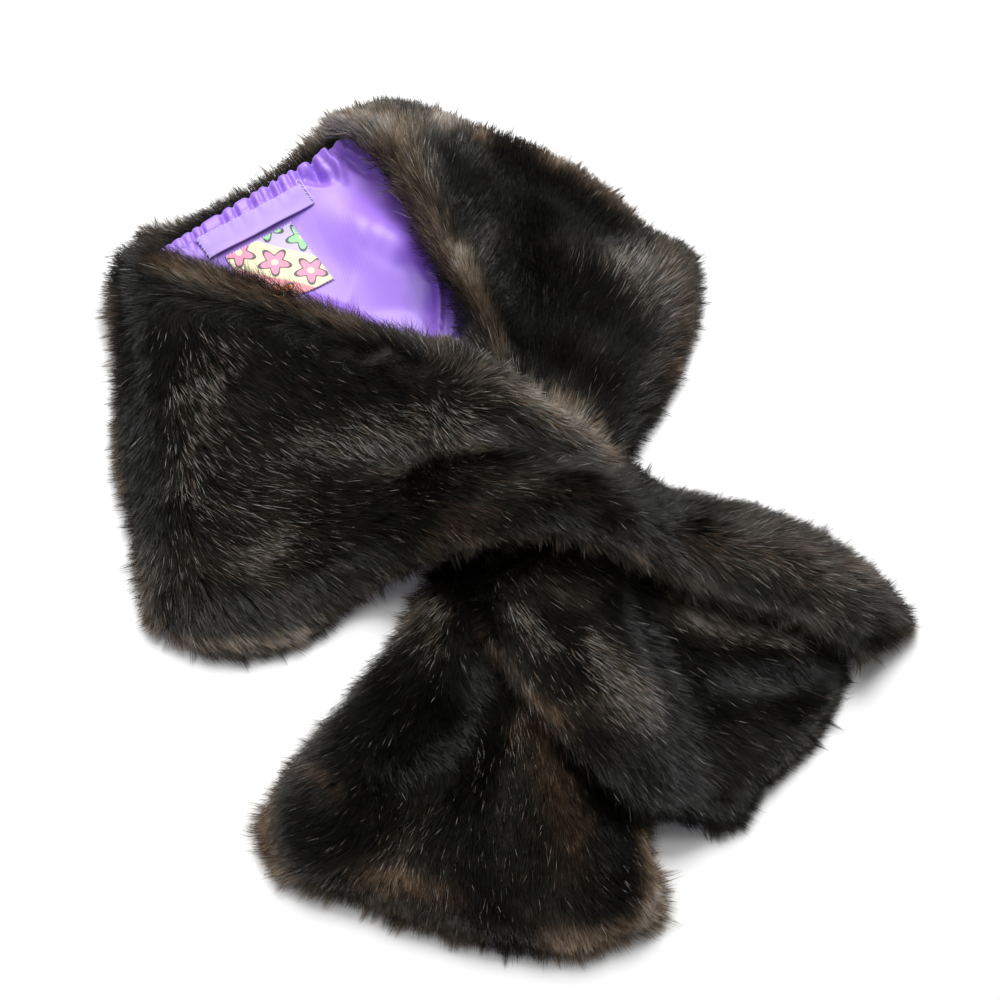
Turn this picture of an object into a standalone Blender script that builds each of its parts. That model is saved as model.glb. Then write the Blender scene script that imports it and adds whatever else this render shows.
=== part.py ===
"""A fur collar wrap, laid down with its two ends crossed.

The wrap is one long stole: long-pile fur outside, satin inside, drawn in at the back of the neck.
It lies as a flattened ring. The back is lowest, lining up and fur down. The right front folds over
onto it, runs down under the crossing and ends as the lower-left tail. The left front folds over
from the other side, crosses on top as an arch and ends as the right tail, whose lower half is
tucked under the arch and fans out.

Each stretch is a wall lofted through sections that run from its neck edge to its hem edge. Its
underside rests on whatever lies below it, its top stands one pile higher, its edges are rounded,
and its folds are added as ridges and valleys. All sizes in the tables are millimetres, +Z up.
"""

import math
from collections import namedtuple

import bmesh
import bpy
import numpy as np
from mathutils import Vector
from mathutils.bvhtree import BVHTree

MM = 0.001  # metres in a millimetre
FLAT_ANGLE = 0.02  # degrees: triangles that bend less than this are joined

# Driving dimensions, in millimetres
PILE = 20.0  # fur cloth with its pile standing
PRESSED_PILE = 13.0  # the back's fur, lying face down under the rest
TUCKED_PILE = 17.0  # the tail's lower half, tucked under the arch
LINING = 1.6  # satin with its seam allowances
LABEL = 0.9  # woven label and printed tag
CASING = 2.4  # satin folded over the neck elastic
GAP = 0.3  # between pieces at seams and between layers
CELL = 10.0  # spacing of the rings along a stretch
ROUND = 22.0  # how far in from an edge its rounding reaches, on top
UNDERCUT = 9.0  # the same underneath
EDGE_SHARES = (0.0, 0.134, 0.5, 1.0)  # where rings lie across a rounding
RIM_HEIGHT = 0.40  # where the edge itself lies, between underside and top
THINNEST = 0.30  # the share of its thickness that a wall keeps in its troughs
NO_EDGE = 1000.0  # distance to an edge that isn't there

MAP_CELL = 3.0  # spacing of the map of what lies below a layer
MAP_HALF = 380.0  # the map reaches this far each way
REACH = 16.0  # how far a layer bridges out from what carries it
BRIDGE_STEPS = 24  # how long the bridging layer is let down onto it
FLOOR_SLACK = 1.5  # a layer that hangs lower than this reaches the floor
CLOSE_REACH = 8.0  # reach and steps for the thin satin and its labels
CLOSE_STEPS = 4

LIFT_START = 0.30  # share of the width where a stretch starts to rise clear of what is below
LIFT_RUN = 0.45  # share of the width in which it comes to its full lift
LIFT_CURVE = 1.5
FOLD_SAMPLES = 25  # points along each fold's curve
FOLD_END = 0.08  # share of its length that it fades out in, at either end
FOLD_FADE = 0.6

GATHERS = 12  # puckers along the neck casing
GATHER_DEPTH = 2.6

Section = namedtuple("Section", "neck_x neck_y mid_x mid_y hem_x hem_y lift")
Fold = namedtuple("Fold", "x0 y0 x1 y1 x2 y2 height half_width")

# The back, from its left side fold to its right one
BACK = [
    Section(-232, 238, -212, 92, -190, -36, 0),
    Section(-214, 253, -184, 108, -140, -26, 0),
    Section(-192, 265, -147, 128, -92, -6, 0),
    Section(-168, 280, -106, 156, -44, 18, 0),
    Section(-146, 298, -69, 184, 6, 50, 0),
    Section(-126, 319, -38, 210, 42, 88, 0),
    Section(-108, 328, -14, 232, 70, 128, 0),
    Section(-84, 302, 6, 248, 86, 166, 0),
]
BACK_FOLDS = [
    Fold(-228, 234, -170, 271, -112, 322, 12, 9),  # fur rolled up over the neck edge
]

# The satin seen through the neck opening
SATIN = [
    Section(-226, 214, -224, 203, -220, 190, 0),
    Section(-205, 232, -193, 202, -180, 172, 0),
    Section(-180, 251, -160, 201, -140, 152, 0),
    Section(-155, 270, -127, 200, -98, 131, 0),
    Section(-130, 288, -92, 202, -56, 113, 0),
    Section(-107, 304, -62, 208, -14, 104, 0),
    Section(-88, 304, -46, 224, -2, 138, 0),
]
SATIN_FOLDS = [
    Fold(-120, 284, -96, 242, -84, 196, 3.0, 16),
    Fold(-88, 252, -80, 230, -76, 206, 2.0, 13),
    Fold(-51, 205, -44, 188, -48, 160, 4.5, 6),  # the small standing crease by the right roll
]

# The right front and the tail it runs out to, from its top fold to the tail's end
RIGHT = [
    Section(-117, 322, -20, 325, 117, 221, 0),
    Section(-97, 294, -1, 277, 119, 192, 0),
    Section(-75, 258, 15, 230, 114, 160, 0),
    Section(-55, 222, 24, 190, 105, 132, 0),
    Section(-41, 184, 24, 150, 90, 103, 0),
    Section(-32, 145, 20, 112, 76, 75, 0),
    Section(-30, 105, 16, 76, 66, 50, 0),
    Section(-34, 62, 10, 42, 60, 18, 0),
    Section(-43, 18, 4, 4, 56, -18, 0),
    Section(-55, -24, 0, -38, 60, -55, 0),
    Section(-71, -60, -9, -77, 66, -93, 0),
    Section(-92, -96, -20, -122, 76, -138, 0),
    Section(-119, -133, -28, -168, 85, -182, 0),
    Section(-142, -172, -35, -218, 92, -228, 0),
    Section(-160, -212, -39, -264, 97, -274, 0),
    Section(-149, -250, -34, -306, 78, -310, 0),
]
RIGHT_FOLDS = [
    Fold(-88, 306, -44, 222, -8, 130, 19, 22),  # standing roll along the neck edge
    Fold(-4, 300, -4, 222, 8, 128, -14, 14),  # crease beside it
    Fold(10, 220, 50, 208, 92, 186, 6, 18),
    Fold(6, 176, 36, 168, 62, 154, -8, 17),
    Fold(24, 270, 48, 252, 74, 226, -3, 16),
    Fold(14, 124, 40, 126, 70, 118, 4, 16),
    Fold(-48, -80, -86, -146, -130, -206, 8, 25),  # left lobe of the tail
    Fold(-14, -92, -26, -152, -84, -206, -12, 13),  # its inner edge
    Fold(-6, -128, -18, -180, -42, -244, 4, 14),
    Fold(8, -132, 2, -200, -10, -268, -5, 12),
    Fold(20, -160, 30, -228, 40, -284, 6, 17),
    Fold(60, -170, 66, -230, 62, -280, -9, 14),
    Fold(84, -226, 88, -260, 82, -294, 4, 13),
]

# The left front and the band it runs on to, from its side fold to the right tail's end
LEFT = [
    Section(-243, 226, -251, 88, -226, -62, 0),
    Section(-208, 215, -206, 72, -189, -81, 0),
    Section(-170, 201, -160, 66, -143, -77, 0),
    Section(-130, 182, -116, 62, -101, -58, 2),
    Section(-85, 160, -72, 58, -60, -38, 7),
    Section(-40, 134, -30, 52, -22, -31, 12),
    Section(0, 105, 7, 40, 12, -27, 14),
    Section(32, 79, 38, 26, 40, -32, 12),
    Section(58, 60, 66, 12, 67, -42, 9),
    Section(86, 49, 92, 2, 93, -49, 6),
    Section(117, 40, 120, -8, 119, -58, 4),
    Section(153, 26, 152, -20, 148, -68, 2),
    Section(187, 8, 184, -34, 178, -77, 0),
    Section(219, -16, 212, -54, 200, -93, 0),
    Section(250, -52, 239, -86, 212, -111, 0),
]
LEFT_FOLDS = [
    Fold(-224, 202, -112, 162, -14, 98, 6, 18),  # roll along the neck edge
    Fold(-14, 94, 28, 68, 66, 46, 7, 15),
    Fold(-130, 50, -24, 52, 66, 40, -12, 16),  # valley under it
    Fold(-124, -14, -10, 16, 112, -12, 9, 25),  # crest of the arch
    Fold(100, -4, 160, -18, 216, -54, 7, 22),  # and of the band
    Fold(-200, 160, -206, 80, -192, -10, 3, 22),
    Fold(-166, 120, -156, 60, -158, 0, -4, 24),
    Fold(-176, -46, -120, -30, -70, -10, 4, 20),
    Fold(-150, 150, -90, 118, -40, 90, -3, 18),
    Fold(-104, 104, -64, 90, -26, 76, 3, 16),
]
LEFT_SEAM = 7.6  # the section where the left front ends and the right tail begins
RIGHT_SEAM = 8.4  # the section where the right front ends and the lower tail begins

# The tail's lower half, from its root under the arch to its end
LOBE = [
    Section(44, 10, 10, -12, -21, -34, 0),
    Section(74, 2, 28, -34, -20, -67, 0),
    Section(100, -8, 48, -56, -10, -101, 0),
    Section(124, -20, 68, -79, 8, -135, 0),
    Section(150, -32, 92, -102, 31, -171, 0),
    Section(174, -44, 118, -125, 58, -202, 0),
    Section(194, -60, 144, -144, 90, -223, 0),
    Section(206, -80, 165, -155, 121, -229, 0),
    Section(210, -102, 183, -158, 143, -217, 0),
]
LOBE_FOLDS = [
    Fold(106, -74, 142, -84, 178, -88, 8, 11),  # short ridge below the band
    Fold(132, -112, 170, -106, 204, -104, -9, 12),  # valley that runs out to the notch
    Fold(34, -74, 80, -134, 130, -186, 7, 34),
    Fold(-14, -92, 30, -156, 92, -208, 3, 12),
    Fold(96, -92, 136, -136, 166, -168, -3, 15),
]

# The gathered casing, along the back of the neck
CASING_LINE = [
    Section(-219, 221, -218, 219.5, -217, 218, 0),
    Section(-160, 267, -158, 264.3, -156, 261.6, 0),
    Section(-99, 312, -95.5, 307.5, -92, 303, 0),
]

# Woven label and printed tag: centre, length along the neck edge, depth, and turn in degrees
Patch = namedtuple("Patch", "centre_x centre_y length depth turn")
WOVEN_LABEL = Patch(-160.5, 244.5, 78, 16.5, 33.5)
PICTURE_TAG = Patch(-145, 212.5, 49, 49, 33.5)

Finish = namedtuple("Finish", "colour roughness")
FUR = Finish((0.020, 0.014, 0.010), 0.62)
SATIN_FINISH = Finish((0.50, 0.30, 0.83), 0.34)
LABEL_FINISH = Finish((0.45, 0.28, 0.72), 0.55)
TAG_FINISH = Finish((0.80, 0.66, 0.52), 0.60)


def clear_scene():
    for old in list(bpy.data.objects):
        bpy.data.objects.remove(old, do_unlink=True)


def material(name, finish):
    made = bpy.data.materials.new(name)
    made.use_nodes = True
    shader = made.node_tree.nodes["Principled BSDF"]
    shader.inputs["Base Color"].default_value = (*finish.colour, 1.0)
    shader.inputs["Roughness"].default_value = finish.roughness
    shader.inputs["Metallic"].default_value = 0.0
    return made


def along(rows, station):
    """The table's values at these stations, on a smooth curve through its rows."""
    table = np.array(rows, float)
    last = len(table) - 1
    station = np.clip(np.asarray(station, float), 0, last)
    index = np.minimum(station.astype(int), last - 1)
    part = (station - index)[:, None]
    before = table[np.maximum(index - 1, 0)]
    start, end = table[index], table[index + 1]
    after = table[np.minimum(index + 2, last)]
    return 0.5 * (
        2 * start
        + (end - before) * part
        + (2 * before - 5 * start + 4 * end - after) * part**2
        + (3 * start - before - 3 * end + after) * part**3
    )


def across(sections, share):
    """Plan points at these shares of each section, from the neck edge (0) to the hem edge (1)."""
    neck, middle, hem = (sections[:, None, k : k + 2] for k in (0, 2, 4))
    v = share[..., None]
    return neck * (1 - v) * (1 - 2 * v) + middle * 4 * v * (1 - v) + hem * v * (2 * v - 1)


def relief(folds, x, y):
    """Height that the folds add at plan points: each is a soft ridge or trough along its curve."""
    total = np.zeros_like(x)
    t = np.linspace(0, 1, FOLD_SAMPLES)
    for fold in folds:
        bend = np.array([(1 - t) * (1 - 2 * t), 4 * t * (1 - t), t * (2 * t - 1)])
        line_x = np.array([fold.x0, fold.x1, fold.x2]) @ bend
        line_y = np.array([fold.y0, fold.y1, fold.y2]) @ bend
        away = np.hypot(x[..., None] - line_x, y[..., None] - line_y)
        nearest = away.argmin(-1)
        distance = away.min(-1)
        end_fade = np.sin(math.pi * np.clip(t[nearest], FOLD_END, 1 - FOLD_END)) ** FOLD_FADE
        total += fold.height * end_fade * np.exp(-((distance / fold.half_width) ** 2))
    return total


def rounding(distance, reach):
    """0 at an edge, rising on a quarter circle to 1 at this distance in from it."""
    return np.sqrt(np.clip(1 - (1 - np.clip(distance / reach, 0, 1)) ** 2, 0, 1))


def heights_of(objects, x, y):
    """Top of these solids over plan points in millimetres, or 0 where there is only the floor."""
    top = np.zeros(x.shape)
    ceiling = 1.0
    for obj in objects:
        points = [v.co for v in obj.data.vertices]
        faces = [tuple(p.vertices) for p in obj.data.polygons]
        tree = BVHTree.FromPolygons(points, faces)
        for index in np.ndindex(x.shape):
            start = Vector((x[index] * MM, y[index] * MM, ceiling))
            place, _, _, _ = tree.ray_cast(start, Vector((0, 0, -1)))
            if place is not None:
                top[index] = max(top[index], place.z / MM)
    return top


class Carrier:
    """What carries a layer: the solids below it, with the hollows between them bridged."""

    def __init__(self, objects, reach=REACH, steps=BRIDGE_STEPS):
        axis = np.arange(-MAP_HALF, MAP_HALF + MAP_CELL, MAP_CELL)
        self.start = axis[0]
        grid_x, grid_y = np.meshgrid(axis, axis, indexing="ij")
        tops = heights_of(objects, grid_x, grid_y)
        widened = self.widen(tops, reach)
        bridge = widened.copy()
        for _ in range(steps):
            bridge = np.maximum(widened, self.blur(bridge))
        self.height = np.maximum(widened, bridge - FLOOR_SLACK)
        self.height[self.height < 0.01] = 0.0

    @staticmethod
    def widen(field, reach):
        """Each cell takes the highest value within this reach of it."""
        out = field.copy()
        cells = int(math.ceil(reach / MAP_CELL))
        for i in range(-cells, cells + 1):
            for j in range(-cells, cells + 1):
                if math.hypot(i, j) * MAP_CELL <= reach:
                    out = np.maximum(out, np.roll(field, (i, j), (0, 1)))
        return out

    @staticmethod
    def blur(field):
        out = field
        for axis in (0, 1):
            out = (np.roll(out, 1, axis) + 2 * out + np.roll(out, -1, axis)) / 4
        return out

    def at(self, x, y):
        u = (x - self.start) / MAP_CELL
        v = (y - self.start) / MAP_CELL
        i, j = u.astype(int), v.astype(int)
        a, b = u - i, v - j
        field = self.height
        low = field[i, j] * (1 - b) + field[i, j + 1] * b
        high = field[i + 1, j] * (1 - b) + field[i + 1, j + 1] * b
        return low * (1 - a) + high * a


def wall(name, finish, under, over, shared_edges):
    """One closed solid between two grids of points, which share the edges named in shared_edges."""
    rows, columns = under.shape[:2]
    points, index_under, index_over = [], np.zeros((rows, columns), int), np.zeros((rows, columns), int)
    for i in range(rows):
        for j in range(columns):
            index_under[i, j] = len(points)
            points.append(under[i, j] * MM)
            shared = (
                ("start" in shared_edges and i == 0)
                or ("end" in shared_edges and i == rows - 1)
                or ("neck" in shared_edges and j == 0)
                or ("hem" in shared_edges and j == columns - 1)
            )
            if not shared:
                index_over[i, j] = len(points)
                points.append(over[i, j] * MM)
            else:
                index_over[i, j] = index_under[i, j]
    faces = []
    for i in range(rows - 1):
        for j in range(columns - 1):
            corners = [(i, j), (i + 1, j), (i + 1, j + 1), (i, j + 1)]
            faces.append([index_over[c] for c in corners])
            faces.append([index_under[c] for c in reversed(corners)])
    rim = [(i, 0) for i in range(rows)]
    rim += [(rows - 1, j) for j in range(1, columns)]
    rim += [(i, columns - 1) for i in range(rows - 2, -1, -1)]
    rim += [(0, j) for j in range(columns - 2, -1, -1)]
    for here, there in zip(rim, rim[1:]):
        side = [index_under[here], index_under[there], index_over[there], index_over[here]]
        face = list(dict.fromkeys(side))
        if len(face) > 2:
            faces.append(face)
    mesh = bpy.data.meshes.new(name)
    mesh.from_pydata([tuple(p) for p in points], [], [[int(k) for k in f] for f in faces])
    shape = bmesh.new()
    shape.from_mesh(mesh)
    bmesh.ops.recalc_face_normals(shape, faces=shape.faces)
    if shape.calc_volume(signed=True) < 0:
        bmesh.ops.reverse_faces(shape, faces=shape.faces)
    bmesh.ops.triangulate(shape, faces=shape.faces, quad_method="SHORT_EDGE")
    bmesh.ops.dissolve_limit(
        shape,
        angle_limit=math.radians(FLAT_ANGLE),
        verts=shape.verts,
        edges=shape.edges,
        delimit={"NORMAL"},
    )
    shape.to_mesh(mesh)
    shape.free()
    mesh.shade_smooth()
    obj = bpy.data.objects.new(name, mesh)
    obj.data.materials.append(material(name, finish))
    bpy.context.scene.collection.objects.link(obj)
    return obj


class Stretch:
    """A stretch of cloth: its sections, its folds and what carries it."""

    def __init__(self, rows, folds, carrier, thickness, finish=FUR):
        self.rows, self.folds, self.carrier = rows, folds, carrier
        self.thickness, self.finish = thickness, finish
        self.stations = np.linspace(0, len(rows) - 1, 40 * len(rows))
        middle = along(rows, self.stations)[:, 2:4]
        step = np.hypot(*np.diff(middle, axis=0).T)
        self.length = np.concatenate([[0], np.cumsum(step)])

    def distance_to(self, station):
        return float(np.interp(station, self.stations, self.length))

    def solid(self, name, columns, start=None, end=None):
        """The wall from one seam station to another. An end with no seam is rounded."""
        first = 0.0 if start is None else self.distance_to(start) + GAP / 2
        last = self.length[-1] if end is None else self.distance_to(end) - GAP / 2
        edge = ROUND * np.array(EDGE_SHARES)
        head = edge if start is None else edge[:1]
        tail = edge if end is None else edge[:1]
        inner = np.linspace(
            first + head[-1],
            last - tail[-1],
            max(2, int(round((last - first - head[-1] - tail[-1]) / CELL)) + 1),
        )
        places = np.concatenate([first + head[:-1], inner, last - tail[-2::-1]])
        sections = along(self.rows, np.interp(places, self.length, self.stations))
        width = np.hypot(sections[:, 4] - sections[:, 0], sections[:, 5] - sections[:, 1])
        shares = np.array(
            [
                np.concatenate(
                    [edge[:-1] / w, np.linspace(ROUND / w, 1 - ROUND / w, columns), 1 - edge[-2::-1] / w]
                )
                for w in width
            ]
        )
        plan = across(sections, shares)
        x, y = plan[..., 0], plan[..., 1]
        side = np.minimum(shares, 1 - shares) * width[:, None]
        from_start = (places - first if start is None else NO_EDGE + 0 * places)[:, None]
        from_end = (last - places if end is None else NO_EDGE + 0 * places)[:, None]
        crown, keel = 1.0, 1.0
        for distance in (side, from_start, from_end):
            crown = crown * rounding(distance, ROUND)
            keel = keel * rounding(distance, UNDERCUT)
        lift = sections[:, 6:7] * np.clip((shares - LIFT_START) / LIFT_RUN, 0, 1) ** LIFT_CURVE
        support = self.carrier.at(x, y)
        low = support + np.where(support > 0, GAP, 0) + lift
        low[(support == 0) & (lift < 0.5)] = 0.0
        high = low + self.thickness + relief(self.folds, x, y)
        high = np.maximum(high, low + THINNEST * self.thickness)
        rim = low + RIM_HEIGHT * (high - low)
        under = np.dstack([x, y, rim + (low - rim) * keel])
        over = np.dstack([x, y, rim + (high - rim) * crown])
        under[side == 0, 2] = rim[side == 0]
        shared = {"neck", "hem"}
        if start is None:
            shared.add("start")
        if end is None:
            shared.add("end")
        return wall(name, self.finish, under, over, shared)


def sheet(name, rows, folds, below, thickness, finish, rings, columns, wave=None):
    """A thin wall that follows what it lies on closely, with square edges."""
    sections = along(rows, np.linspace(0, len(rows) - 1, rings))
    shares = np.tile(np.linspace(0, 1, columns), (rings, 1))
    plan = across(sections, shares)
    x, y = plan[..., 0], plan[..., 1]
    low = Carrier(below, CLOSE_REACH, CLOSE_STEPS).at(x, y) + GAP + np.maximum(relief(folds, x, y), 0)
    extra = np.zeros_like(x) if wave is None else wave(np.linspace(0, 1, rings)[:, None], shares)
    under = np.dstack([x, y, low])
    over = np.dstack([x, y, low + thickness + extra])
    return wall(name, finish, under, over, set())


def patch(name, place, below, finish, rings, columns):
    """A flat label laid on the lining."""
    turn = math.radians(place.turn)
    axis = np.array([math.cos(turn), math.sin(turn)])
    down = np.array([axis[1], -axis[0]])
    rows = []
    for share in (-0.5, 0.0, 0.5):
        centre = np.array([place.centre_x, place.centre_y]) + axis * place.length * share
        neck, hem = centre - down * place.depth / 2, centre + down * place.depth / 2
        rows.append(Section(*neck, *centre, *hem, 0))
    return sheet(name, rows, [], below, LABEL, finish, rings, columns)


def gathers(along_share, across_share):
    """Puckers that stand highest at the neck edge and die away towards the lining."""
    wave = 0.5 - 0.5 * np.cos(2 * math.pi * GATHERS * along_share)
    return GATHER_DEPTH * wave * (1 - 0.7 * across_share)


def centre_on_floor(objects):
    """Moves everything together, so that the origin is under the middle of the whole."""
    corners = np.array([v.co for obj in objects for v in obj.data.vertices])
    middle = (corners.min(0) + corners.max(0)) / 2
    shift = Vector((-middle[0], -middle[1], -corners[:, 2].min()))
    for obj in objects:
        for vertex in obj.data.vertices:
            vertex.co += shift
    print("shift in mm:", [round(c / MM, 2) for c in shift])


def build():
    clear_scene()
    floor = Carrier([])
    back = Stretch(BACK, BACK_FOLDS, floor, PRESSED_PILE).solid("back_panel", columns=11)
    satin = sheet("satin_lining", SATIN, SATIN_FOLDS, [back], LINING, SATIN_FINISH, 27, 20)
    casing_rings = GATHERS * 4 + 1
    casing = sheet(
        "gathered_casing", CASING_LINE, [], [back, satin], CASING, SATIN_FINISH, casing_rings, 4, gathers
    )
    label = patch("woven_label", WOVEN_LABEL, [satin], LABEL_FINISH, 12, 4)
    tag = patch("picture_tag", PICTURE_TAG, [satin], TAG_FINISH, 8, 8)
    lowest = [back, satin, casing, label, tag]

    right = Stretch(RIGHT, RIGHT_FOLDS, Carrier(lowest), PILE)
    right_front = right.solid("right_front", end=RIGHT_SEAM, columns=15)
    lower_tail = right.solid("lower_left_tail", start=RIGHT_SEAM, columns=17)
    lower = lowest + [right_front, lower_tail]

    lobe = Stretch(LOBE, LOBE_FOLDS, Carrier(lower), TUCKED_PILE).solid("right_tail_lower", columns=15)
    left = Stretch(LEFT, LEFT_FOLDS, Carrier(lower + [lobe]), PILE)
    left_front = left.solid("left_front", end=LEFT_SEAM, columns=17)
    upper_tail = left.solid("right_tail_upper", start=LEFT_SEAM, columns=8)
    everything = lower + [lobe, left_front, upper_tail]
    centre_on_floor(everything)
    for obj in everything:
        triangles = sum(len(p.vertices) - 2 for p in obj.data.polygons)
        print(f"{obj.name}: {triangles} triangles")


build()
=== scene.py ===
# %% [markdown]
# # A fur collar wrap
# The real object is a strip of long-pile fur cloth, lined with lilac satin. One end is pulled
# through an arch in the other, and the whole lies folded on a table with its neck opening up.
# The frame gives the form of each stretch as a solid that reaches as far as the fur does.
# This lesson dresses that form: a backing cloth just inside it, hundreds of thousands of
# hairs that end at its surface, and satin with its gathers, its label and its printed tag.

import math
from collections import namedtuple

import bmesh
import bpy
import numpy as np
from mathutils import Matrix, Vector
from mathutils.bvhtree import BVHTree
from mathutils.kdtree import KDTree


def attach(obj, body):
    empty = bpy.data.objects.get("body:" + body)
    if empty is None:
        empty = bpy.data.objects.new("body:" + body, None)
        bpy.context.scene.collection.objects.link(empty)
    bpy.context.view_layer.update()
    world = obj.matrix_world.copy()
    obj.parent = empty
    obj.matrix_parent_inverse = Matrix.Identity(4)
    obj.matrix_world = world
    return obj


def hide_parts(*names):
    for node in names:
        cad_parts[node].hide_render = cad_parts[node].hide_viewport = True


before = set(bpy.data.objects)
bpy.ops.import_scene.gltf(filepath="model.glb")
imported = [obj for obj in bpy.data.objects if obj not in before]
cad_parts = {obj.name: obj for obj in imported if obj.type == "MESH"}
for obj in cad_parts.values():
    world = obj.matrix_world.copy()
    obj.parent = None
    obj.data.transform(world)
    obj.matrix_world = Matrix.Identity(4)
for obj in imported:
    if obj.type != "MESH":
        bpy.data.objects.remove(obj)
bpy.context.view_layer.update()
MM = 0.001  # metres in a millimetre

# %% [markdown]
# ## Looking down at the table
# A wrap that lies flat is looked at from the front and well above. Such pictures are taken from
# far off, so its two ends look equally large. A very long lens a long way back does the same
# here, and unlike a parallel camera it still fits the whole object when it is walked round.

# %% Set up the camera
PICTURE = 1000  # pixels along each side of the picture
PIXEL = 0.62 * MM  # what one pixel covers
SENSOR = 36.0
VIEW_DISTANCE = 20.0
VIEW_ELEVATION = math.radians(53)
CENTRE_PX, CENTRE_PY = 512, 556.5  # where the middle of the wrap's footprint shows
FOOTPRINT_X, FOOTPRINT_Y = 1.03 * MM, -11.15 * MM

view_right = np.array([1.0, 0.0, 0.0])
view_up = np.array([0.0, math.sin(VIEW_ELEVATION), math.cos(VIEW_ELEVATION)])
view_ahead = np.array([0.0, math.cos(VIEW_ELEVATION), -math.sin(VIEW_ELEVATION)])


def in_picture(points):
    """Where points show in the picture, in pixels from its top left corner."""
    from_centre = points - (FOOTPRINT_X, FOOTPRINT_Y, 0)
    across, up = from_centre @ view_right / PIXEL, from_centre @ view_up / PIXEL
    return np.column_stack([CENTRE_PX + across, CENTRE_PY - up])


def add_object(name, data):
    obj = bpy.data.objects.new(name, data)
    bpy.context.scene.collection.objects.link(obj)
    return obj


def set_up_camera():
    data = bpy.data.cameras.new("camera")
    data.sensor_width = SENSOR
    data.lens = SENSOR * VIEW_DISTANCE / (PICTURE * PIXEL)
    data.clip_end = 2 * VIEW_DISTANCE
    camera = add_object("camera", data)
    middle = PICTURE / 2
    target = Vector((FOOTPRINT_X, FOOTPRINT_Y, 0))
    target += Vector(view_right) * (middle - CENTRE_PX) * PIXEL
    target -= Vector(view_up) * (middle - CENTRE_PY) * PIXEL
    camera.location = target - Vector(view_ahead) * VIEW_DISTANCE
    camera.rotation_euler = (math.pi / 2 - VIEW_ELEVATION, 0, 0)
    bpy.context.scene.camera = camera
    print("lens in mm:", round(data.lens))


set_up_camera()

# %% [markdown]
# ## A white table and soft light
# Dark fur only shows its form where light grazes the hairs, so the main light is a large soft
# box behind and above the wrap. Weaker ones overhead and in front fill the shadows, and a white
# table throws light back up into the hems.

# %% Light the table
SoftBox = namedtuple("SoftBox", "name place size power")
SOFT_BOXES = [
    SoftBox("key_light", (0.05, 1.15, 1.55), 1.2, 50.0),
    SoftBox("top_light", (-0.35, -0.10, 1.9), 1.0, 9.0),
    SoftBox("front_fill", (-0.5, -1.5, 1.0), 1.0, 3.0),
]
WORLD_STRENGTH = 0.22


def set_up_light():
    for box in SOFT_BOXES:
        data = bpy.data.lights.new(box.name, "AREA")
        data.shape = "SQUARE"
        data.size = box.size
        data.energy = box.power
        light = add_object(box.name, data)
        light.location = box.place
        light.rotation_euler = (-Vector(box.place)).to_track_quat("-Z", "Y").to_euler()
    world = bpy.data.worlds.new("pale_room")
    world.use_nodes = True
    background = world.node_tree.nodes["Background"]
    background.inputs["Color"].default_value = (1, 1, 1, 1)
    background.inputs["Strength"].default_value = WORLD_STRENGTH
    bpy.context.scene.world = world
    bpy.context.scene.view_settings.view_transform = "Standard"


set_up_light()

# %% [markdown]
# ## Helpers for materials
# Every finish here is made of shader nodes. Small helpers keep that short: they start a material
# or a node group with named sockets, add a node with its values, do a sum, or lay one colour
# over another.

# %% Define the material helpers
def new_material(name):
    material = bpy.data.materials.new(name)
    material.use_nodes = True
    return material, material.node_tree, material.node_tree.nodes["Principled BSDF"]


def set_values(node, values):
    for socket, value in values.items():
        node.inputs[socket].default_value = value


def add_node(tree, kind, settings=None, values=None):
    """A shader node with its settings, and values for its sockets by name or number."""
    node = tree.nodes.new("ShaderNode" + kind)
    for key, value in (settings or {}).items():
        setattr(node, key, value)
    set_values(node, values or {})
    return node


def new_group(name, inputs, outputs):
    """A node group; inputs gives each number socket's default, outputs each socket's kind."""
    tree = bpy.data.node_groups.new(name, "ShaderNodeTree")
    for label, value in inputs.items():
        socket = tree.interface.new_socket(label, in_out="INPUT", socket_type="NodeSocketFloat")
        socket.default_value = value
    for label, kind in outputs.items():
        tree.interface.new_socket(label, in_out="OUTPUT", socket_type="NodeSocket" + kind)
    return tree, tree.nodes.new("NodeGroupInput"), tree.nodes.new("NodeGroupOutput")


def place_group(tree, group, values=None):
    return add_node(tree, "Group", {"node_tree": group}, values)


def set_ramp(ramp, stops):
    """Sets a colour ramp's stops, each a place and a colour."""
    elements = ramp.color_ramp.elements
    while len(elements) > 1:
        elements.remove(elements[-1])
    elements[0].position, elements[0].color = stops[0][0], (*stops[0][1], 1)
    for position, colour in stops[1:]:
        elements.new(position).color = (*colour, 1)


def shaded(tree, share, stops):
    """A colour that runs through these stops as the share goes from 0 to 1."""
    ramp = add_node(tree, "ValToRGB")
    set_ramp(ramp, stops)
    tree.links.new(share, ramp.inputs["Fac"])
    return ramp.outputs["Color"]


def laid_over(tree, mask, under, over):
    """One colour over another where the mask is 1; each is a socket or a plain colour."""
    mix = add_node(tree, "Mix", {"data_type": "RGBA"})
    for socket, colour in ((6, under), (7, over)):
        if isinstance(colour, tuple):
            mix.inputs[socket].default_value = (*colour, 1)
        else:
            tree.links.new(colour, mix.inputs[socket])
    tree.links.new(mask, mix.inputs["Factor"])
    return mix.outputs[2]


def maths(tree, operation, *given):
    """A Math node; each of the given is a socket or a number."""
    node = add_node(tree, "Math", {"operation": operation})
    for index, value in enumerate(given):
        if isinstance(value, (int, float)):
            node.inputs[index].default_value = value
        else:
            tree.links.new(value, node.inputs[index])
    return node.outputs[0]


def add_bump(tree, principled, height, strength, distance):
    bump = add_node(tree, "Bump", values={"Strength": strength, "Distance": distance})
    tree.links.new(height, bump.inputs["Height"])
    tree.links.new(bump.outputs["Normal"], principled.inputs["Normal"])


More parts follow.
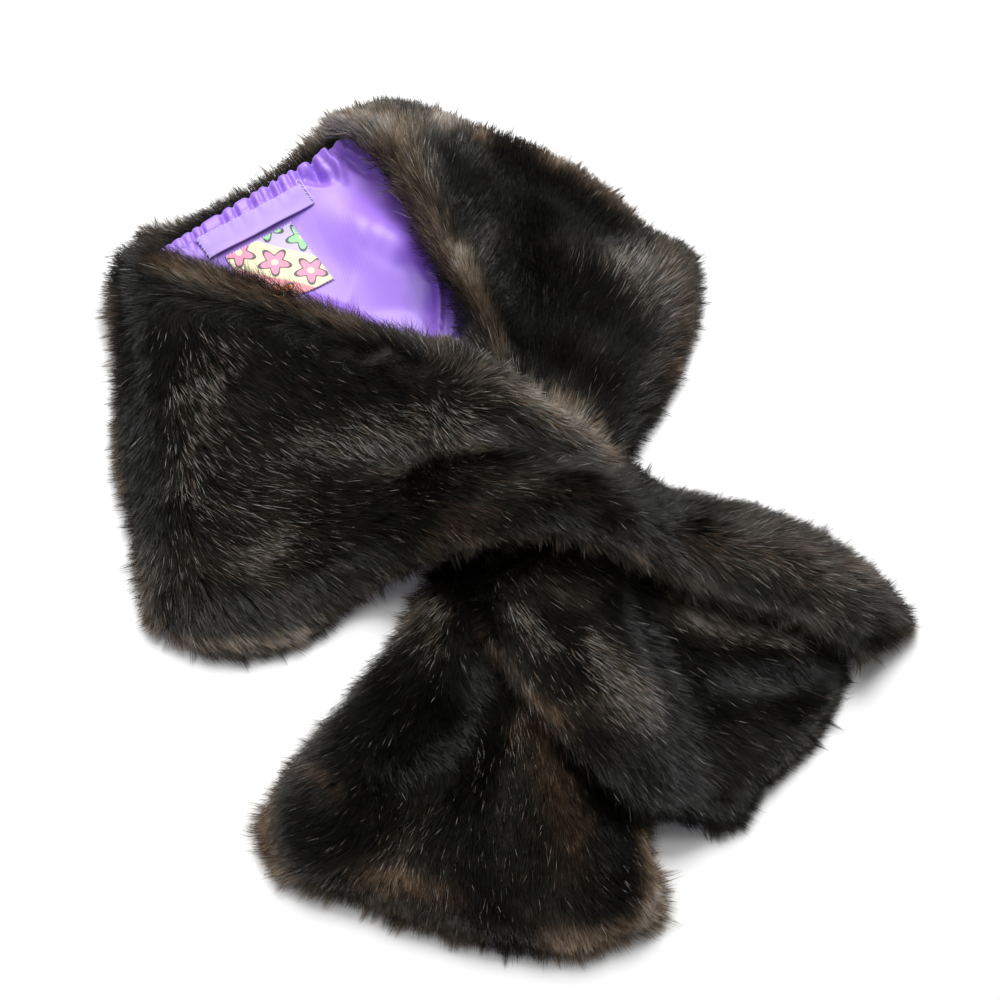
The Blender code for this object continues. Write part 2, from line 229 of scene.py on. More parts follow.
# %% Make the table
TABLE_COLOUR = (0.86, 0.86, 0.86)
TABLE_SIZE = 8.0
TABLE_GAP = 0.2 * MM  # under the wrap, so that the two never coincide


def make_table():
    material, tree, principled = new_material("white_table")
    noise = add_node(tree, "TexNoise", values={"Scale": 3.0, "Detail": 2.0})
    darker = [c * 0.995 for c in TABLE_COLOUR]
    colour = shaded(tree, noise.outputs["Fac"], [(0.0, darker), (1.0, TABLE_COLOUR)])
    tree.links.new(colour, principled.inputs["Base Color"])
    set_values(principled, {"Roughness": 0.9})
    bpy.ops.mesh.primitive_plane_add(size=TABLE_SIZE, location=(0, 0, -TABLE_GAP))
    table = bpy.context.object
    table.name = "table"
    table.data.materials.append(material)


make_table()

# %% [markdown]
# ## The colour of the fur
# Mink-like pile is almost black from a step away. Close up, each hair starts near-black at its
# root, turns brown along its length, and some end in tan or grey. So one group turns three
# numbers into a colour: the hair's own tone, how far along the hair the point lies, and 1 for a
# warm brown hair or 0 for a cool one. The backing cloth uses the same group, held near the
# roots, so nothing shines through as pale.

# %% Build the fur colour group
COOL_TONES = [
    (0.00, (0.0028, 0.0031, 0.0024)),
    (0.25, (0.0096, 0.0103, 0.0078)),
    (0.45, (0.0340, 0.0332, 0.0258)),
    (0.65, (0.1200, 0.1030, 0.0810)),
    (0.85, (0.3300, 0.2980, 0.2580)),
    (1.00, (0.6200, 0.6200, 0.6200)),
]
WARM_TONES = [
    (0.00, (0.0042, 0.0030, 0.0020)),
    (0.25, (0.0165, 0.0106, 0.0066)),
    (0.45, (0.0560, 0.0350, 0.0220)),
    (0.65, (0.1680, 0.1040, 0.0580)),
    (0.85, (0.3600, 0.2500, 0.1560)),
    (1.00, (0.5500, 0.5000, 0.4400)),
]
ROOT_COLOUR = (0.0032, 0.0032, 0.0025)
COLOURING = (0.20, 0.85)  # where along a hair its own colour starts and is full


def fur_colour_group():
    tree, given, result = new_group(
        "fur_colour", {"Tone": 0.3, "Along": 1.0, "Warmth": 0.0}, {"Colour": "Color"}
    )
    cool, warm = [shaded(tree, given.outputs["Tone"], stops) for stops in (COOL_TONES, WARM_TONES)]
    hue = laid_over(tree, given.outputs["Warmth"], cool, warm)
    rise = add_node(tree, "MapRange", {"interpolation_type": "SMOOTHSTEP"}, {
        "From Min": COLOURING[0], "From Max": COLOURING[1],
    })
    tree.links.new(given.outputs["Along"], rise.inputs["Value"])
    colour = laid_over(tree, rise.outputs["Result"], ROOT_COLOUR, hue)
    tree.links.new(colour, result.inputs["Colour"])
    return tree


fur_colour = fur_colour_group()

# %% Make the hair and backing materials
HAIR_MAP = "OFBake"  # the hairs' map: tone across, root to tip upwards
HAIR_ROUGHNESS = 0.25
HAIR_SPECULAR = 0.24


def hair_material(name, warmth):
    material, tree, principled = new_material(name)
    place = add_node(tree, "UVMap", {"uv_map": HAIR_MAP})
    parts = add_node(tree, "SeparateXYZ")
    colour = place_group(tree, fur_colour, {"Warmth": warmth})
    tree.links.new(place.outputs["UV"], parts.inputs["Vector"])
    tree.links.new(parts.outputs["X"], colour.inputs["Tone"])
    tree.links.new(parts.outputs["Y"], colour.inputs["Along"])
    tree.links.new(colour.outputs["Colour"], principled.inputs["Base Color"])
    set_values(principled, {"Roughness": HAIR_ROUGHNESS, "Specular IOR Level": HAIR_SPECULAR})
    return material


def backing_material():
    material, tree, principled = new_material("fur_backing")
    place = add_node(tree, "TexCoord")
    noise = add_node(tree, "TexNoise", values={"Scale": 900.0, "Detail": 3.0, "Roughness": 0.6})
    colour = place_group(tree, fur_colour, {"Along": 0.45})
    tree.links.new(place.outputs["Object"], noise.inputs["Vector"])
    tree.links.new(noise.outputs["Fac"], colour.inputs["Tone"])
    tree.links.new(colour.outputs["Colour"], principled.inputs["Base Color"])
    add_bump(tree, principled, noise.outputs["Fac"], 0.8, 0.6 * MM)
    set_values(principled, {"Roughness": 0.85, "Specular IOR Level": 0.2})
    return material


dark_hair = hair_material("fur_hair_dark", 0.0)
brown_hair = hair_material("fur_hair_brown", 1.0)
backing = backing_material()

# %% [markdown]
# ## The satin's weave and colour
# Satin is smooth because long threads float on its face, so it has a soft, wide shine and a
# weave too fine to see from a step away. One group makes that weave as a height for a bump.
# The lining, the label and the tag all use it, each with its own thread size.

# %% Build the weave group and the satin
THREADS_PER_MM = 3.2
THREAD_RELIEF = 0.05 * MM


def weave_group():
    tree, given, result = new_group(
        "fine_weave", {"Threads": THREADS_PER_MM / MM, "Float": 5.0}, {"Height": "Float"}
    )
    place = add_node(tree, "TexCoord")
    parts = add_node(tree, "SeparateXYZ")
    tree.links.new(place.outputs["Object"], parts.inputs["Vector"])
    across, ahead = [
        maths(tree, "MULTIPLY", parts.outputs[axis], given.outputs["Threads"]) for axis in ("X", "Y")
    ]
    ahead = maths(tree, "DIVIDE", ahead, given.outputs["Float"])
    height = maths(tree, "MULTIPLY", maths(tree, "SINE", across), maths(tree, "SINE", ahead))
    tree.links.new(height, result.inputs["Height"])
    return tree


fine_weave = weave_group()
SATIN_LIGHT = (0.325, 0.170, 0.70)
SATIN_DEEP = (0.275, 0.130, 0.64)
SATIN_PAINTED_SHADE = (0.125, 0.040, 0.43)  # painted shade, where the cloth dips
PAINTED_SHADE_ATTRIBUTE = "painted_shade"  # the attribute that says how much painted shade each point of the cloth gets


def satin_material(name, light, deep, roughness, threads, float_length):
    """Shiny woven cloth whose colour wanders a little between two shades, and is darker where a painted shade
    is noted.
    """
    material, tree, principled = new_material(name)
    place = add_node(tree, "TexCoord")
    noise = add_node(tree, "TexNoise", values={"Scale": 18.0, "Detail": 3.0})
    painted_shade = add_node(tree, "Attribute", {"attribute_name": PAINTED_SHADE_ATTRIBUTE})
    weave = place_group(tree, fine_weave, {"Threads": threads / MM, "Float": float_length})
    tree.links.new(place.outputs["Object"], noise.inputs["Vector"])
    # the noted painted shade pulls the colour towards the darkest stop
    tone = maths(tree, "SUBTRACT", noise.outputs["Fac"], painted_shade.outputs["Fac"])
    colour = shaded(tree, tone, [(0.0, SATIN_PAINTED_SHADE), (0.3, deep), (0.7, light)])
    tree.links.new(colour, principled.inputs["Base Color"])
    add_bump(tree, principled, weave.outputs["Height"], 0.25, THREAD_RELIEF)
    set_values(principled, {
        "Roughness": roughness, "Sheen Weight": 0.25, "Sheen Roughness": 0.4,
        "Sheen Tint": (0.85, 0.75, 1.0, 1),
    })
    return material


satin = satin_material("lilac_satin", SATIN_LIGHT, SATIN_DEEP, 0.42, THREADS_PER_MM, 5.0)
label_satin = satin_material(
    "woven_label_cloth", (0.38, 0.25, 0.62), (0.34, 0.22, 0.57), 0.55, 2.2, 1.0
)

# %% [markdown]
# ## The backing cloth under the fur
# Fur cloth is pile knotted into a backing, and the hairs hide all of it. It could be left out,
# but light would then fall through the pile onto nothing. So each pelt is a closed shell on the
# frame's form: its nodes are joined, remeshed evenly so that their seams close, and smoothed.
# That even skin is where the hairs end. The backing lies inside it by the height of the pile,
# or by a share of the local thickness where the cloth is thin, and hardly at all underneath,
# where the pile is pressed flat by what it rests on.

# %% Define how the even outer skins are made
VOXEL = 5.0 * MM
SMOOTH_STEPS = 6
PILE_HEIGHT = 9.0 * MM
THIN_SHARE = 0.42  # of the local thickness, the most that pile may take
UNDER_INSET = 0.8 * MM
JUST_INSIDE = 0.2 * MM  # where a ray that measures the thickness starts
DEPTH_STEPS = 4  # how often the pile's depth is evened out
LOOKS_DOWN = -0.6  # the height of a normal from which a face belongs to the underside

Skin = namedtuple("Skin", "points normals depth faces")


def unit(vectors):
    return vectors / np.maximum(np.linalg.norm(vectors, axis=-1, keepdims=True), 1e-9)


def dot(a, b):
    return (a * b).sum(-1, keepdims=True)


def smoothstep(low, high, value):
    share = np.clip((value - low) / (high - low), 0, 1)
    return share * share * (3 - 2 * share)


def surface_tree(points, faces):
    return BVHTree.FromPolygons(points.tolist(), faces.tolist())


def even_mesh(name, nodes):
    """The frame's nodes as one object with an even, smoothed mesh."""
    shape = bmesh.new()
    for node in nodes:
        shape.from_mesh(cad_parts[node].data)
    mesh = bpy.data.meshes.new(name)
    shape.to_mesh(mesh)
    shape.free()
    obj = add_object(name, mesh)
    remesh = obj.modifiers.new("even", "REMESH")
    remesh.mode = "VOXEL"
    remesh.voxel_size = VOXEL
    soften = obj.modifiers.new("soften", "SMOOTH")
    soften.factor = 0.5
    soften.iterations = SMOOTH_STEPS
    graph = bpy.context.evaluated_depsgraph_get()
    obj.data = bpy.data.meshes.new_from_object(obj.evaluated_get(graph))
    obj.modifiers.clear()
    return obj


def read_skin(obj):
    """The skin's points, normals and triangles, and how deep the pile is at each point."""
    mesh = obj.data
    moved = nudged(obj.name, np.array([v.co for v in mesh.vertices]))
    mesh.vertices.foreach_set("co", moved.astype(np.float32).ravel())
    mesh.update()
    mesh.calc_loop_triangles()
    points = np.array([v.co for v in mesh.vertices])
    normals = np.array([v.normal for v in mesh.vertices])
    faces = np.array([t.vertices for t in mesh.loop_triangles])
    tree = surface_tree(points, faces)
    depth = np.zeros(len(points))
    for index, (point, normal) in enumerate(zip(points, normals)):
        inside = Vector(point - normal * JUST_INSIDE)
        hit = tree.ray_cast(inside, Vector(-normal))
        thickness = hit[3] if hit[0] else 2 * VOXEL
        depth[index] = min(PILE_HEIGHT, thickness * THIN_SHARE)
    upward = smoothstep(LOOKS_DOWN, -0.1, normals[:, 2])
    depth = UNDER_INSET + (depth - UNDER_INSET) * upward
    edges = np.array([e.vertices for e in mesh.edges])
    for _ in range(DEPTH_STEPS):
        total, count = np.zeros(len(points)), np.zeros(len(points))
        for one, other in ((0, 1), (1, 0)):
            np.add.at(total, edges[:, one], depth[edges[:, other]])
            np.add.at(count, edges[:, one], 1)
        depth = 0.5 * depth + 0.5 * total / np.maximum(count, 1)
    return Skin(points, normals, depth, faces)


# %% Nudge the outline
Nudge = namedtuple("Nudge", "px py reach right away up")  # pixels, then millimetres
NUDGES = {
    "pelt_left": [
        (110, 285, 30, -6, 1, 0), (106, 375, 34, 4, 0, 0), (110, 440, 36, 1, 0, 0),
        (126, 530, 34, 5, 0, 0), (408, 345, 24, 0, 3, 2), (176, 650, 24, 0, 2, 0),
        (250, 658, 40, 0, -2, 0), (340, 622, 22, 0, 3, 0), (376, 606, 30, 0, 10, 0),
        (700, 490, 40, 0, -2, -1), (740, 505, 56, 0, 3, 3), (830, 545, 46, 0, 3, 3),
        (884, 676, 30, 0, 19, 0),
    ],
    "pelt_right": [
        (342, 122, 18, -5, 0, 0), (352, 104, 18, 0, -3, -3), (392, 104, 18, 0, 1, 1),
        (415, 110, 32, 0, 5, 6), (480, 130, 36, 0, 1, 2), (580, 174, 48, 1, 5, 5),
        (650, 222, 16, -1, -2, -1), (690, 256, 20, 2, 3, 2), (518, 144, 22, 0, 3, 2),
        (694, 360, 24, -3, 0, 0), (388, 185, 32, 5, 0, 0), (434, 262, 22, -4, 0, 0),
        (484, 306, 24, 5, 0, 2), (394, 640, 24, 3, 0, 0), (330, 735, 50, 6, 0, 0),
        (258, 835, 34, 6, 0, 0), (300, 896, 20, 0, 1, 0), (352, 918, 28, 0, 9, 0),
        (424, 938, 46, 0, 8, 0), (520, 966, 34, 0, 5, 0), (634, 952, 26, -7, 10, 0),
        (672, 890, 24, -4, 0, 0), (668, 842, 18, -10, -3, 0),
    ],
    "pelt_tucked": [
        (844, 704, 30, -4, 2, 0), (778, 796, 34, -7, 6, 0), (696, 848, 36, 0, 12, 0),
    ],
    "pelt_back": [
        (324, 130, 24, 3, 9, 8), (280, 158, 24, 0, 0, 1), (130, 240, 24, -9, 8, 6),
    ],
}


def nudged(name, points):
    """Small corrections of a skin's outline, each felt around its place in the picture."""
    seen = in_picture(points)
    moved = points.copy()
    for nudge in (Nudge(*row) for row in NUDGES[name]):
        away = ((seen - (nudge.px, nudge.py)) ** 2).sum(1)
        felt = np.exp(-away / (2 * nudge.reach**2))[:, None]
        moved += felt * np.array([nudge.right, nudge.away, nudge.up]) * MM
    moved[:, 2] = np.maximum(moved[:, 2], 0.0)
    return moved


# %% Join the pelts
PELTS = {
    "pelt_left": ["left_front", "right_tail_upper"],
    "pelt_right": ["right_front", "lower_left_tail"],
    "pelt_tucked": ["right_tail_lower"],
    "pelt_back": ["back_panel"],
}
pelts = {name: even_mesh(name, nodes) for name, nodes in PELTS.items()}
skins = {name: read_skin(obj) for name, obj in pelts.items()}
for name, skin in skins.items():
    print(name, len(skin.faces), "triangles, pile", np.round(skin.depth.mean() / MM, 1), "mm deep")

# %% Sink the backing under the pile


def sink_backing(obj, skin):
    """Moves the shell in from the skin, and gives its underside the satin lining."""
    sunk = skin.points - skin.normals * skin.depth[:, None]
    sunk[:, 2] = np.maximum(sunk[:, 2], 0.0)
    obj.data.vertices.foreach_set("co", sunk.astype(np.float32).ravel())
    obj.data.update()
    obj.data.materials.append(backing)
    obj.data.materials.append(satin)
    lined = obj.name != "pelt_back"
    for face in obj.data.polygons:
        face.use_smooth = True
        face.material_index = 1 if lined and face.normal.z < LOOKS_DOWN else 0
    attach(obj, "root")
    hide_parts(*PELTS[obj.name])


for name, obj in pelts.items():
    sink_backing(obj, skins[name])

# %% [markdown]
# ## Which way the pile lies
# Pile has a nap: it is combed one way, and parts where the cloth folds or bulges. That is what
# makes a fur look like itself, so it is charted. Each row of a chart is a place in the
# picture, in pixels, and the heading in degrees in which the hairs there seem to point, with 0
# to the right and 90 up. Between rows the heading turns smoothly.

# %% Chart the nap
# each row: px, py, heading
NAP = {
    "pelt_left": [
        (106, 262, 168), (104, 300, 178), (106, 360, -178), (108, 430, -176), (118, 500, -172),
        (130, 560, -165), (148, 620, -140), (124, 300, -168), (126, 350, -150), (128, 410, -140),
        (134, 470, -125), (148, 540, -110), (150, 330, -110), (152, 400, -95), (158, 460, -80),
        (172, 530, -70), (165, 590, -85), (180, 310, -68), (184, 370, -58), (190, 430, -48),
        (196, 500, -38), (205, 560, -40), (175, 640, -60), (230, 648, -52), (290, 638, -45),
        (340, 615, -42), (130, 255, 165), (155, 262, 155), (185, 272, 150), (150, 285, -170),
        (225, 286, 150), (270, 302, 152), (320, 316, 154), (370, 332, 150), (415, 346, 130),
        (445, 354, 95), (468, 362, 45), (492, 372, 5), (520, 386, -20), (220, 620, -50), (215, 318, -52),
        (250, 325, -45), (250, 370, -42), (250, 430, -28), (250, 490, -18), (250, 560, -25),
        (265, 625, -50), (300, 340, -38), (330, 380, -40), (330, 430, -35), (330, 490, -12),
        (330, 550, -30), (330, 605, -50), (390, 365, -35), (420, 400, -42), (420, 450, -48),
        (420, 500, -16), (420, 545, -48), (500, 375, -35), (500, 420, -30), (500, 470, -6),
        (500, 515, -50), (560, 415, -25), (560, 450, -10), (560, 500, -35), (560, 540, -75),
        (600, 440, 0), (620, 465, -3), (620, 500, -30), (620, 530, -60), (620, 555, -80), (650, 476, 30),
        (690, 490, 35), (680, 505, -8), (680, 530, -45), (690, 570, -75), (750, 505, 35), (750, 525, -10),
        (750, 560, -52), (760, 590, -68), (820, 530, 25), (820, 555, -20), (820, 590, -55), (880, 575, 5),
        (865, 600, -40), (880, 640, -60), (912, 630, -35), (830, 640, -70),
    ],
    "pelt_right": [
        (325, 122, 145), (360, 110, 122), (400, 108, 104), (440, 120, 92), (480, 135, 78), (540, 155, 62),
        (600, 190, 50), (650, 225, 42), (690, 265, 30), (700, 310, 12), (690, 360, -8), (668, 410, -18),
        (640, 450, -28), (400, 135, 112), (440, 145, 104), (480, 160, 88), (352, 135, 122),
        (385, 185, 108), (415, 240, 106), (440, 300, 106), (470, 345, 124), (405, 185, 114),
        (445, 235, 112), (480, 310, 112), (505, 350, 118), (470, 195, 96), (490, 215, 72), (486, 262, 88),
        (440, 190, 106), (512, 160, 80), (516, 220, 75), (514, 280, 60), (550, 200, 60), (550, 260, 72),
        (560, 320, 75), (600, 270, 62), (600, 330, 60), (640, 290, 45), (640, 350, 38), (620, 400, 42),
        (580, 390, 70), (600, 430, 45), (540, 370, 80), (410, 610, -150), (378, 680, -142),
        (330, 740, -140), (280, 790, -150), (258, 825, -165), (268, 870, -140), (310, 895, -110),
        (370, 905, -95), (440, 935, -85), (520, 950, -80), (600, 955, -70), (652, 925, -40),
        (660, 870, -15), (658, 830, -10), (440, 620, -120), (435, 680, -125), (400, 730, -130),
        (350, 780, -145), (320, 830, -170), (478, 640, -60), (470, 690, -35), (440, 740, -50),
        (405, 765, -70), (500, 720, -88), (480, 800, -100), (430, 810, -112), (520, 800, -88),
        (560, 780, -76), (600, 800, -76), (560, 860, -82), (625, 860, -60), (480, 880, -95),
        (420, 880, -100), (360, 860, -120),
    ],
    "pelt_tucked": [
        (500, 590, -60), (510, 650, -70), (560, 610, -40), (560, 690, -58), (600, 640, -40),
        (605, 720, -52), (650, 640, -42), (650, 700, -48), (650, 780, -62), (700, 650, -32),
        (700, 720, -46), (700, 800, -60), (760, 680, -30), (760, 740, -40), (800, 700, -20),
        (830, 725, -30), (745, 800, -45), (680, 832, -75), (842, 690, -20), (720, 615, -50),
        (790, 650, -45),
    ],
    "pelt_back": [
        (130, 240, 168), (200, 208, 158), (260, 175, 146), (320, 130, 138),
    ],
}
NAP_REACH = 14.0  # pixels over which one heading turns into the next
NAP_SHARPNESS = 1.6  # how much more the nearest rows count than those farther off
NAP_FALL = 0.35  # how much hairs on a steep side hang down


def nap_direction(name, points, normals, sway):
    """The way the hairs lie at these points, in the skin's own plane."""
    chart = np.array(NAP[name], float)
    seen = in_picture(points)
    away = ((seen[:, None] - chart[None, :, :2]) ** 2).sum(2) + NAP_REACH**2
    heading = np.radians(chart[:, 2])
    flow = (away**-NAP_SHARPNESS) @ np.column_stack([np.cos(heading), np.sin(heading)])
    angle = np.arctan2(flow[:, 1], flow[:, 0]) + sway
    flat = np.cos(angle)[:, None] * view_right + np.sin(angle)[:, None] * view_up
    facing = np.minimum(normals @ view_ahead, -0.25)[:, None]
    lying = flat - view_ahead * dot(normals, flat) / facing
    lying = unit(lying)
    lying[:, 2] -= NAP_FALL * (1 - np.clip(normals[:, 2], 0, 1))
    return unit(lying - normals * dot(lying, normals))


# %% Measure how far points are from a charted curve
CURVE_STEPS = 17


def off_curve(seen, row, reach):
    """Which points are within reach of a row's curve, how far off, and where along it."""
    start, middle, end = np.array(row[:6], float).reshape(3, 2)
    share = np.linspace(0, 1, CURVE_STEPS)[:, None]
    curve = (1 - share) ** 2 * start + 2 * share * (1 - share) * middle + share**2 * end
    within = (seen > curve.min(0) - reach) & (seen < curve.max(0) + reach)
    close = np.flatnonzero(within.all(1))
    steps = np.diff(curve, axis=0)
    ahead = seen[close, None] - curve[:-1]
    along = np.clip((ahead * steps).sum(2) / (steps**2).sum(1), 0, 1)
    away = np.linalg.norm(ahead - along[..., None] * steps, axis=2)
    best = away.argmin(1)
    return close, away.min(1), (best + along[np.arange(len(best)), best]) / (CURVE_STEPS - 1)


def felt_rows(points, chart):
    """Each row of a chart, with the points near its curve and how much each feels it."""
    seen = in_picture(points)
    for row in chart:
        close, away, _ = off_curve(seen, row, 3 * row.reach)
        yield row, close, np.exp(-(away**2) / (2 * row.reach**2))


# %% [markdown]
# ## Light and dark places
# The pile is near-black where hairs stand deep together, tan where they fan out over a hem, and
# silvery where pale hairs are painted in as highlights. Those places are charted, each as a soft
# curve. Tone makes hairs browner, or darker where it is negative: the brown and tan are partly the
# fur's own colour and partly painted light on lit ridges, and the darkening is painted shade. Glint
# is painted highlight, the share of pale hairs; where it is negative, hairs stand up, so one looks
# down into the dark.

# %% Chart the light and dark places
# each row: a curve in picture pixels, its reach, a tone that is brown colour and painted shade, and a glint
# that is painted highlight
Shade = namedtuple("Shade", "px0 py0 px1 py1 px2 py2 reach tone glint")
SHADES = [Shade(*row) for row in (
    # the left front
    (160, 270, 265, 298, 356, 326, 11, 0.36, 0.03), (380, 326, 410, 334, 442, 346, 7, 0.06, 0),
    (118, 248, 150, 255, 190, 262, 12, 0.08, 0), (104, 290, 108, 400, 116, 490, 9, 0.46, 0),
    (118, 490, 130, 560, 150, 622, 8, 0.32, 0), (138, 290, 128, 400, 142, 490, 16, -0.3, -0.2),
    (180, 396, 197, 393, 214, 380, 8, 0, 0.32), (206, 398, 200, 430, 190, 468, 6, 0, 0.22),
    (176, 492, 190, 480, 202, 500, 8, 0, 0.22), (232, 350, 215, 345, 205, 362, 11, 0.02, 0.12),
    (248, 562, 262, 558, 276, 545, 9, 0.04, 0.36), (260, 580, 275, 590, 292, 602, 12, 0.14, 0.05),
    (170, 440, 220, 470, 270, 500, 40, 0.03, 0.06), (165, 576, 215, 570, 270, 545, 26, 0.1, 0.06),
    (310, 446, 400, 438, 475, 424, 13, 0.05, 0.32), (350, 402, 410, 415, 470, 405, 10, 0.03, 0.14),
    (275, 340, 330, 372, 395, 382, 22, -0.1, -0.12), (364, 354, 376, 360, 392, 366, 9, -0.2, -0.9),
    (210, 300, 260, 320, 320, 335, 16, -0.06, 0), (440, 356, 530, 385, 604, 444, 15, 0.32, 0.18),
    (560, 400, 590, 420, 612, 458, 8, 0.16, 0.06), (528, 394, 548, 406, 570, 420, 10, 0.14, 0.1),
    (440, 440, 520, 428, 605, 446, 9, 0.04, 0), (392, 478, 420, 464, 470, 458, 14, 0.26, 0.06),
    (160, 634, 230, 654, 300, 636, 8, 0.52, 0.05), (290, 636, 335, 612, 390, 584, 8, 0.2, 0.02),
    (390, 582, 440, 560, 482, 548, 5, 0.06, 0), (296, 602, 320, 590, 348, 590, 11, 0.06, 0),
    (470, 546, 560, 535, 645, 558, 9, 0.34, 0.06), (436, 542, 450, 522, 475, 514, 11, 0.16, 0),
    (384, 560, 415, 556, 450, 548, 9, 0.16, 0), (596, 506, 640, 506, 684, 514, 20, -0.2, -0.2),
    (600, 522, 626, 536, 650, 544, 13, -0.12, -0.2), (500, 490, 560, 480, 606, 480, 16, 0.14, 0.02),
    (634, 482, 648, 496, 664, 508, 9, -0.16, -0.2), (388, 590, 408, 582, 430, 574, 7, -0.12, -0.2),
    # the upper half of the right tail
    (640, 478, 740, 508, 866, 572, 12, 0.22, 0.05), (696, 540, 760, 556, 830, 592, 14, 0.24, 0.1),
    (640, 562, 700, 584, 745, 594, 8, 0.12, 0.02), (868, 588, 890, 606, 908, 640, 12, 0.08, 0),
    (856, 664, 890, 658, 918, 634, 9, 0.44, 0.05), (664, 612, 740, 616, 812, 620, 14, 0.24, 0.05),
    (690, 614, 740, 634, 792, 642, 9, 0.22, 0.26), (750, 660, 786, 668, 822, 672, 11, -0.22, -0.3),
    (720, 590, 780, 602, 822, 596, 8, -0.12, -0.1),
    # its tucked lower half
    (478, 622, 516, 690, 566, 728, 8, 0.26, 0.06), (600, 750, 630, 790, 657, 826, 6, 0.12, 0),
    (516, 612, 530, 625, 547, 642, 9, 0.06, 0.34), (590, 650, 612, 676, 640, 702, 17, 0.24, 0.4),
    (570, 734, 592, 750, 620, 764, 12, -0.14, -0.1), (535, 578, 560, 590, 585, 602, 11, 0.16, 0),
    (440, 580, 520, 560, 610, 580, 18, 0, -0.1), (448, 568, 464, 592, 482, 620, 14, -0.2, -0.6),
    (616, 606, 664, 640, 708, 704, 16, -0.24, -0.3), (745, 680, 780, 690, 824, 722, 17, -0.12, -0.05),
    (604, 754, 650, 776, 704, 796, 26, -0.14, -0.12), (660, 832, 700, 840, 748, 826, 6, 0.2, 0),
    (750, 808, 802, 752, 842, 692, 7, 0.24, 0), (674, 770, 690, 796, 694, 822, 10, -0.12, -0.1),
    (564, 628, 574, 648, 584, 668, 12, -0.18, -0.2), (560, 702, 590, 708, 616, 722, 11, 0.1, 0.06),
    # the lower left tail
    (414, 604, 340, 700, 262, 790, 9, 0.34, 0.04), (310, 766, 322, 772, 337, 786, 9, 0.32, 0.05),
    (266, 796, 260, 840, 280, 882, 16, 0.56, 0.05), (274, 886, 320, 902, 376, 912, 12, 0.44, 0.05),
    (366, 866, 400, 868, 440, 886, 12, 0.24, 0.06), (408, 922, 440, 934, 474, 944, 11, 0.32, 0.05),
    (566, 942, 610, 946, 654, 922, 17, 0.58, 0.06), (650, 838, 660, 880, 656, 926, 13, 0.54, 0.04),
    (292, 826, 330, 842, 356, 852, 22, -0.12, -0.06), (350, 762, 390, 738, 432, 690, 20, -0.09, 0),
    (497, 682, 486, 740, 480, 802, 9, -0.16, -0.15), (480, 850, 476, 890, 506, 936, 16, -0.16, -0.1),
    (610, 796, 622, 850, 616, 902, 15, -0.12, -0.05), (543, 736, 565, 790, 582, 824, 18, 0.2, 0),
    (573, 838, 582, 860, 574, 884, 12, 0.12, 0), (492, 652, 488, 702, 458, 738, 5, 0.12, 0),
    (444, 748, 422, 762, 399, 774, 5, 0.04, 0), (398, 600, 415, 620, 432, 652, 12, 0.08, 0.14),
    (432, 584, 438, 600, 444, 614, 9, 0.34, 0.3), (430, 800, 414, 836, 392, 866, 16, 0.16, 0.1),
    (482, 742, 480, 760, 477, 778, 4, 0, 0.35), (532, 690, 520, 720, 514, 752, 5, 0.04, 0.22),
    (385, 640, 355, 720, 300, 800, 24, -0.13, -0.05), (456, 704, 436, 744, 380, 782, 20, -0.24, -0.5),
    (482, 690, 468, 730, 436, 760, 12, -0.06, -0.1), (470, 700, 450, 790, 420, 850, 30, -0.07, -0.05),
    (596, 806, 612, 850, 590, 900, 22, -0.17, -0.15),
    # the right front
    (325, 126, 380, 116, 442, 126, 13, 0.36, 0.05), (440, 117, 500, 138, 562, 160, 8, 0.28, 0.05),
    (556, 162, 606, 188, 648, 218, 10, 0.38, 0.04), (366, 126, 406, 184, 446, 274, 19, 0.34, 0.07),
    (396, 122, 418, 150, 434, 182, 9, 0.04, 0.14), (482, 134, 497, 170, 492, 242, 8, 0.24, 0.04),
    (460, 256, 484, 304, 504, 350, 9, 0.42, 0.08), (450, 150, 458, 184, 464, 226, 10, -0.2, -0.3),
    (414, 248, 438, 284, 462, 326, 9, -0.4, -0.15), (600, 322, 616, 338, 636, 352, 12, -0.16, -0.25),
    (506, 150, 512, 196, 534, 236, 20, -0.26, -0.85), (524, 296, 552, 322, 560, 346, 26, -0.26, -0.85),
    (500, 180, 504, 260, 524, 346, 10, -0.18, -0.6), (556, 184, 584, 208, 600, 236, 18, -0.2, -0.75),
    (512, 244, 590, 243, 662, 270, 12, 0.18, 0.4), (612, 262, 640, 280, 650, 305, 11, 0.12, 0.14),
    (668, 246, 694, 300, 682, 372, 14, 0.26, 0.04), (640, 362, 660, 360, 678, 366, 10, 0.12, 0),
    (552, 350, 576, 353, 606, 346, 9, 0.14, 0.26), (606, 390, 622, 420, 634, 446, 14, -0.2, -0.3),
    # the rim behind the neck
    (150, 226, 230, 194, 332, 121, 10, 0.38, 0.04),
)]


def charted_tone_and_painted_light(points):
    """How much the chart shifts the tone of these points, as brown colour and as painted shade, and how much
    painted highlight it gives them as glint.
    """
    tone, glint = np.zeros(len(points)), np.zeros(len(points))
    for shade, close, near in felt_rows(points, SHADES):
        tone[close] += shade.tone * near
        glint[close] += shade.glint * near
    return tone, glint


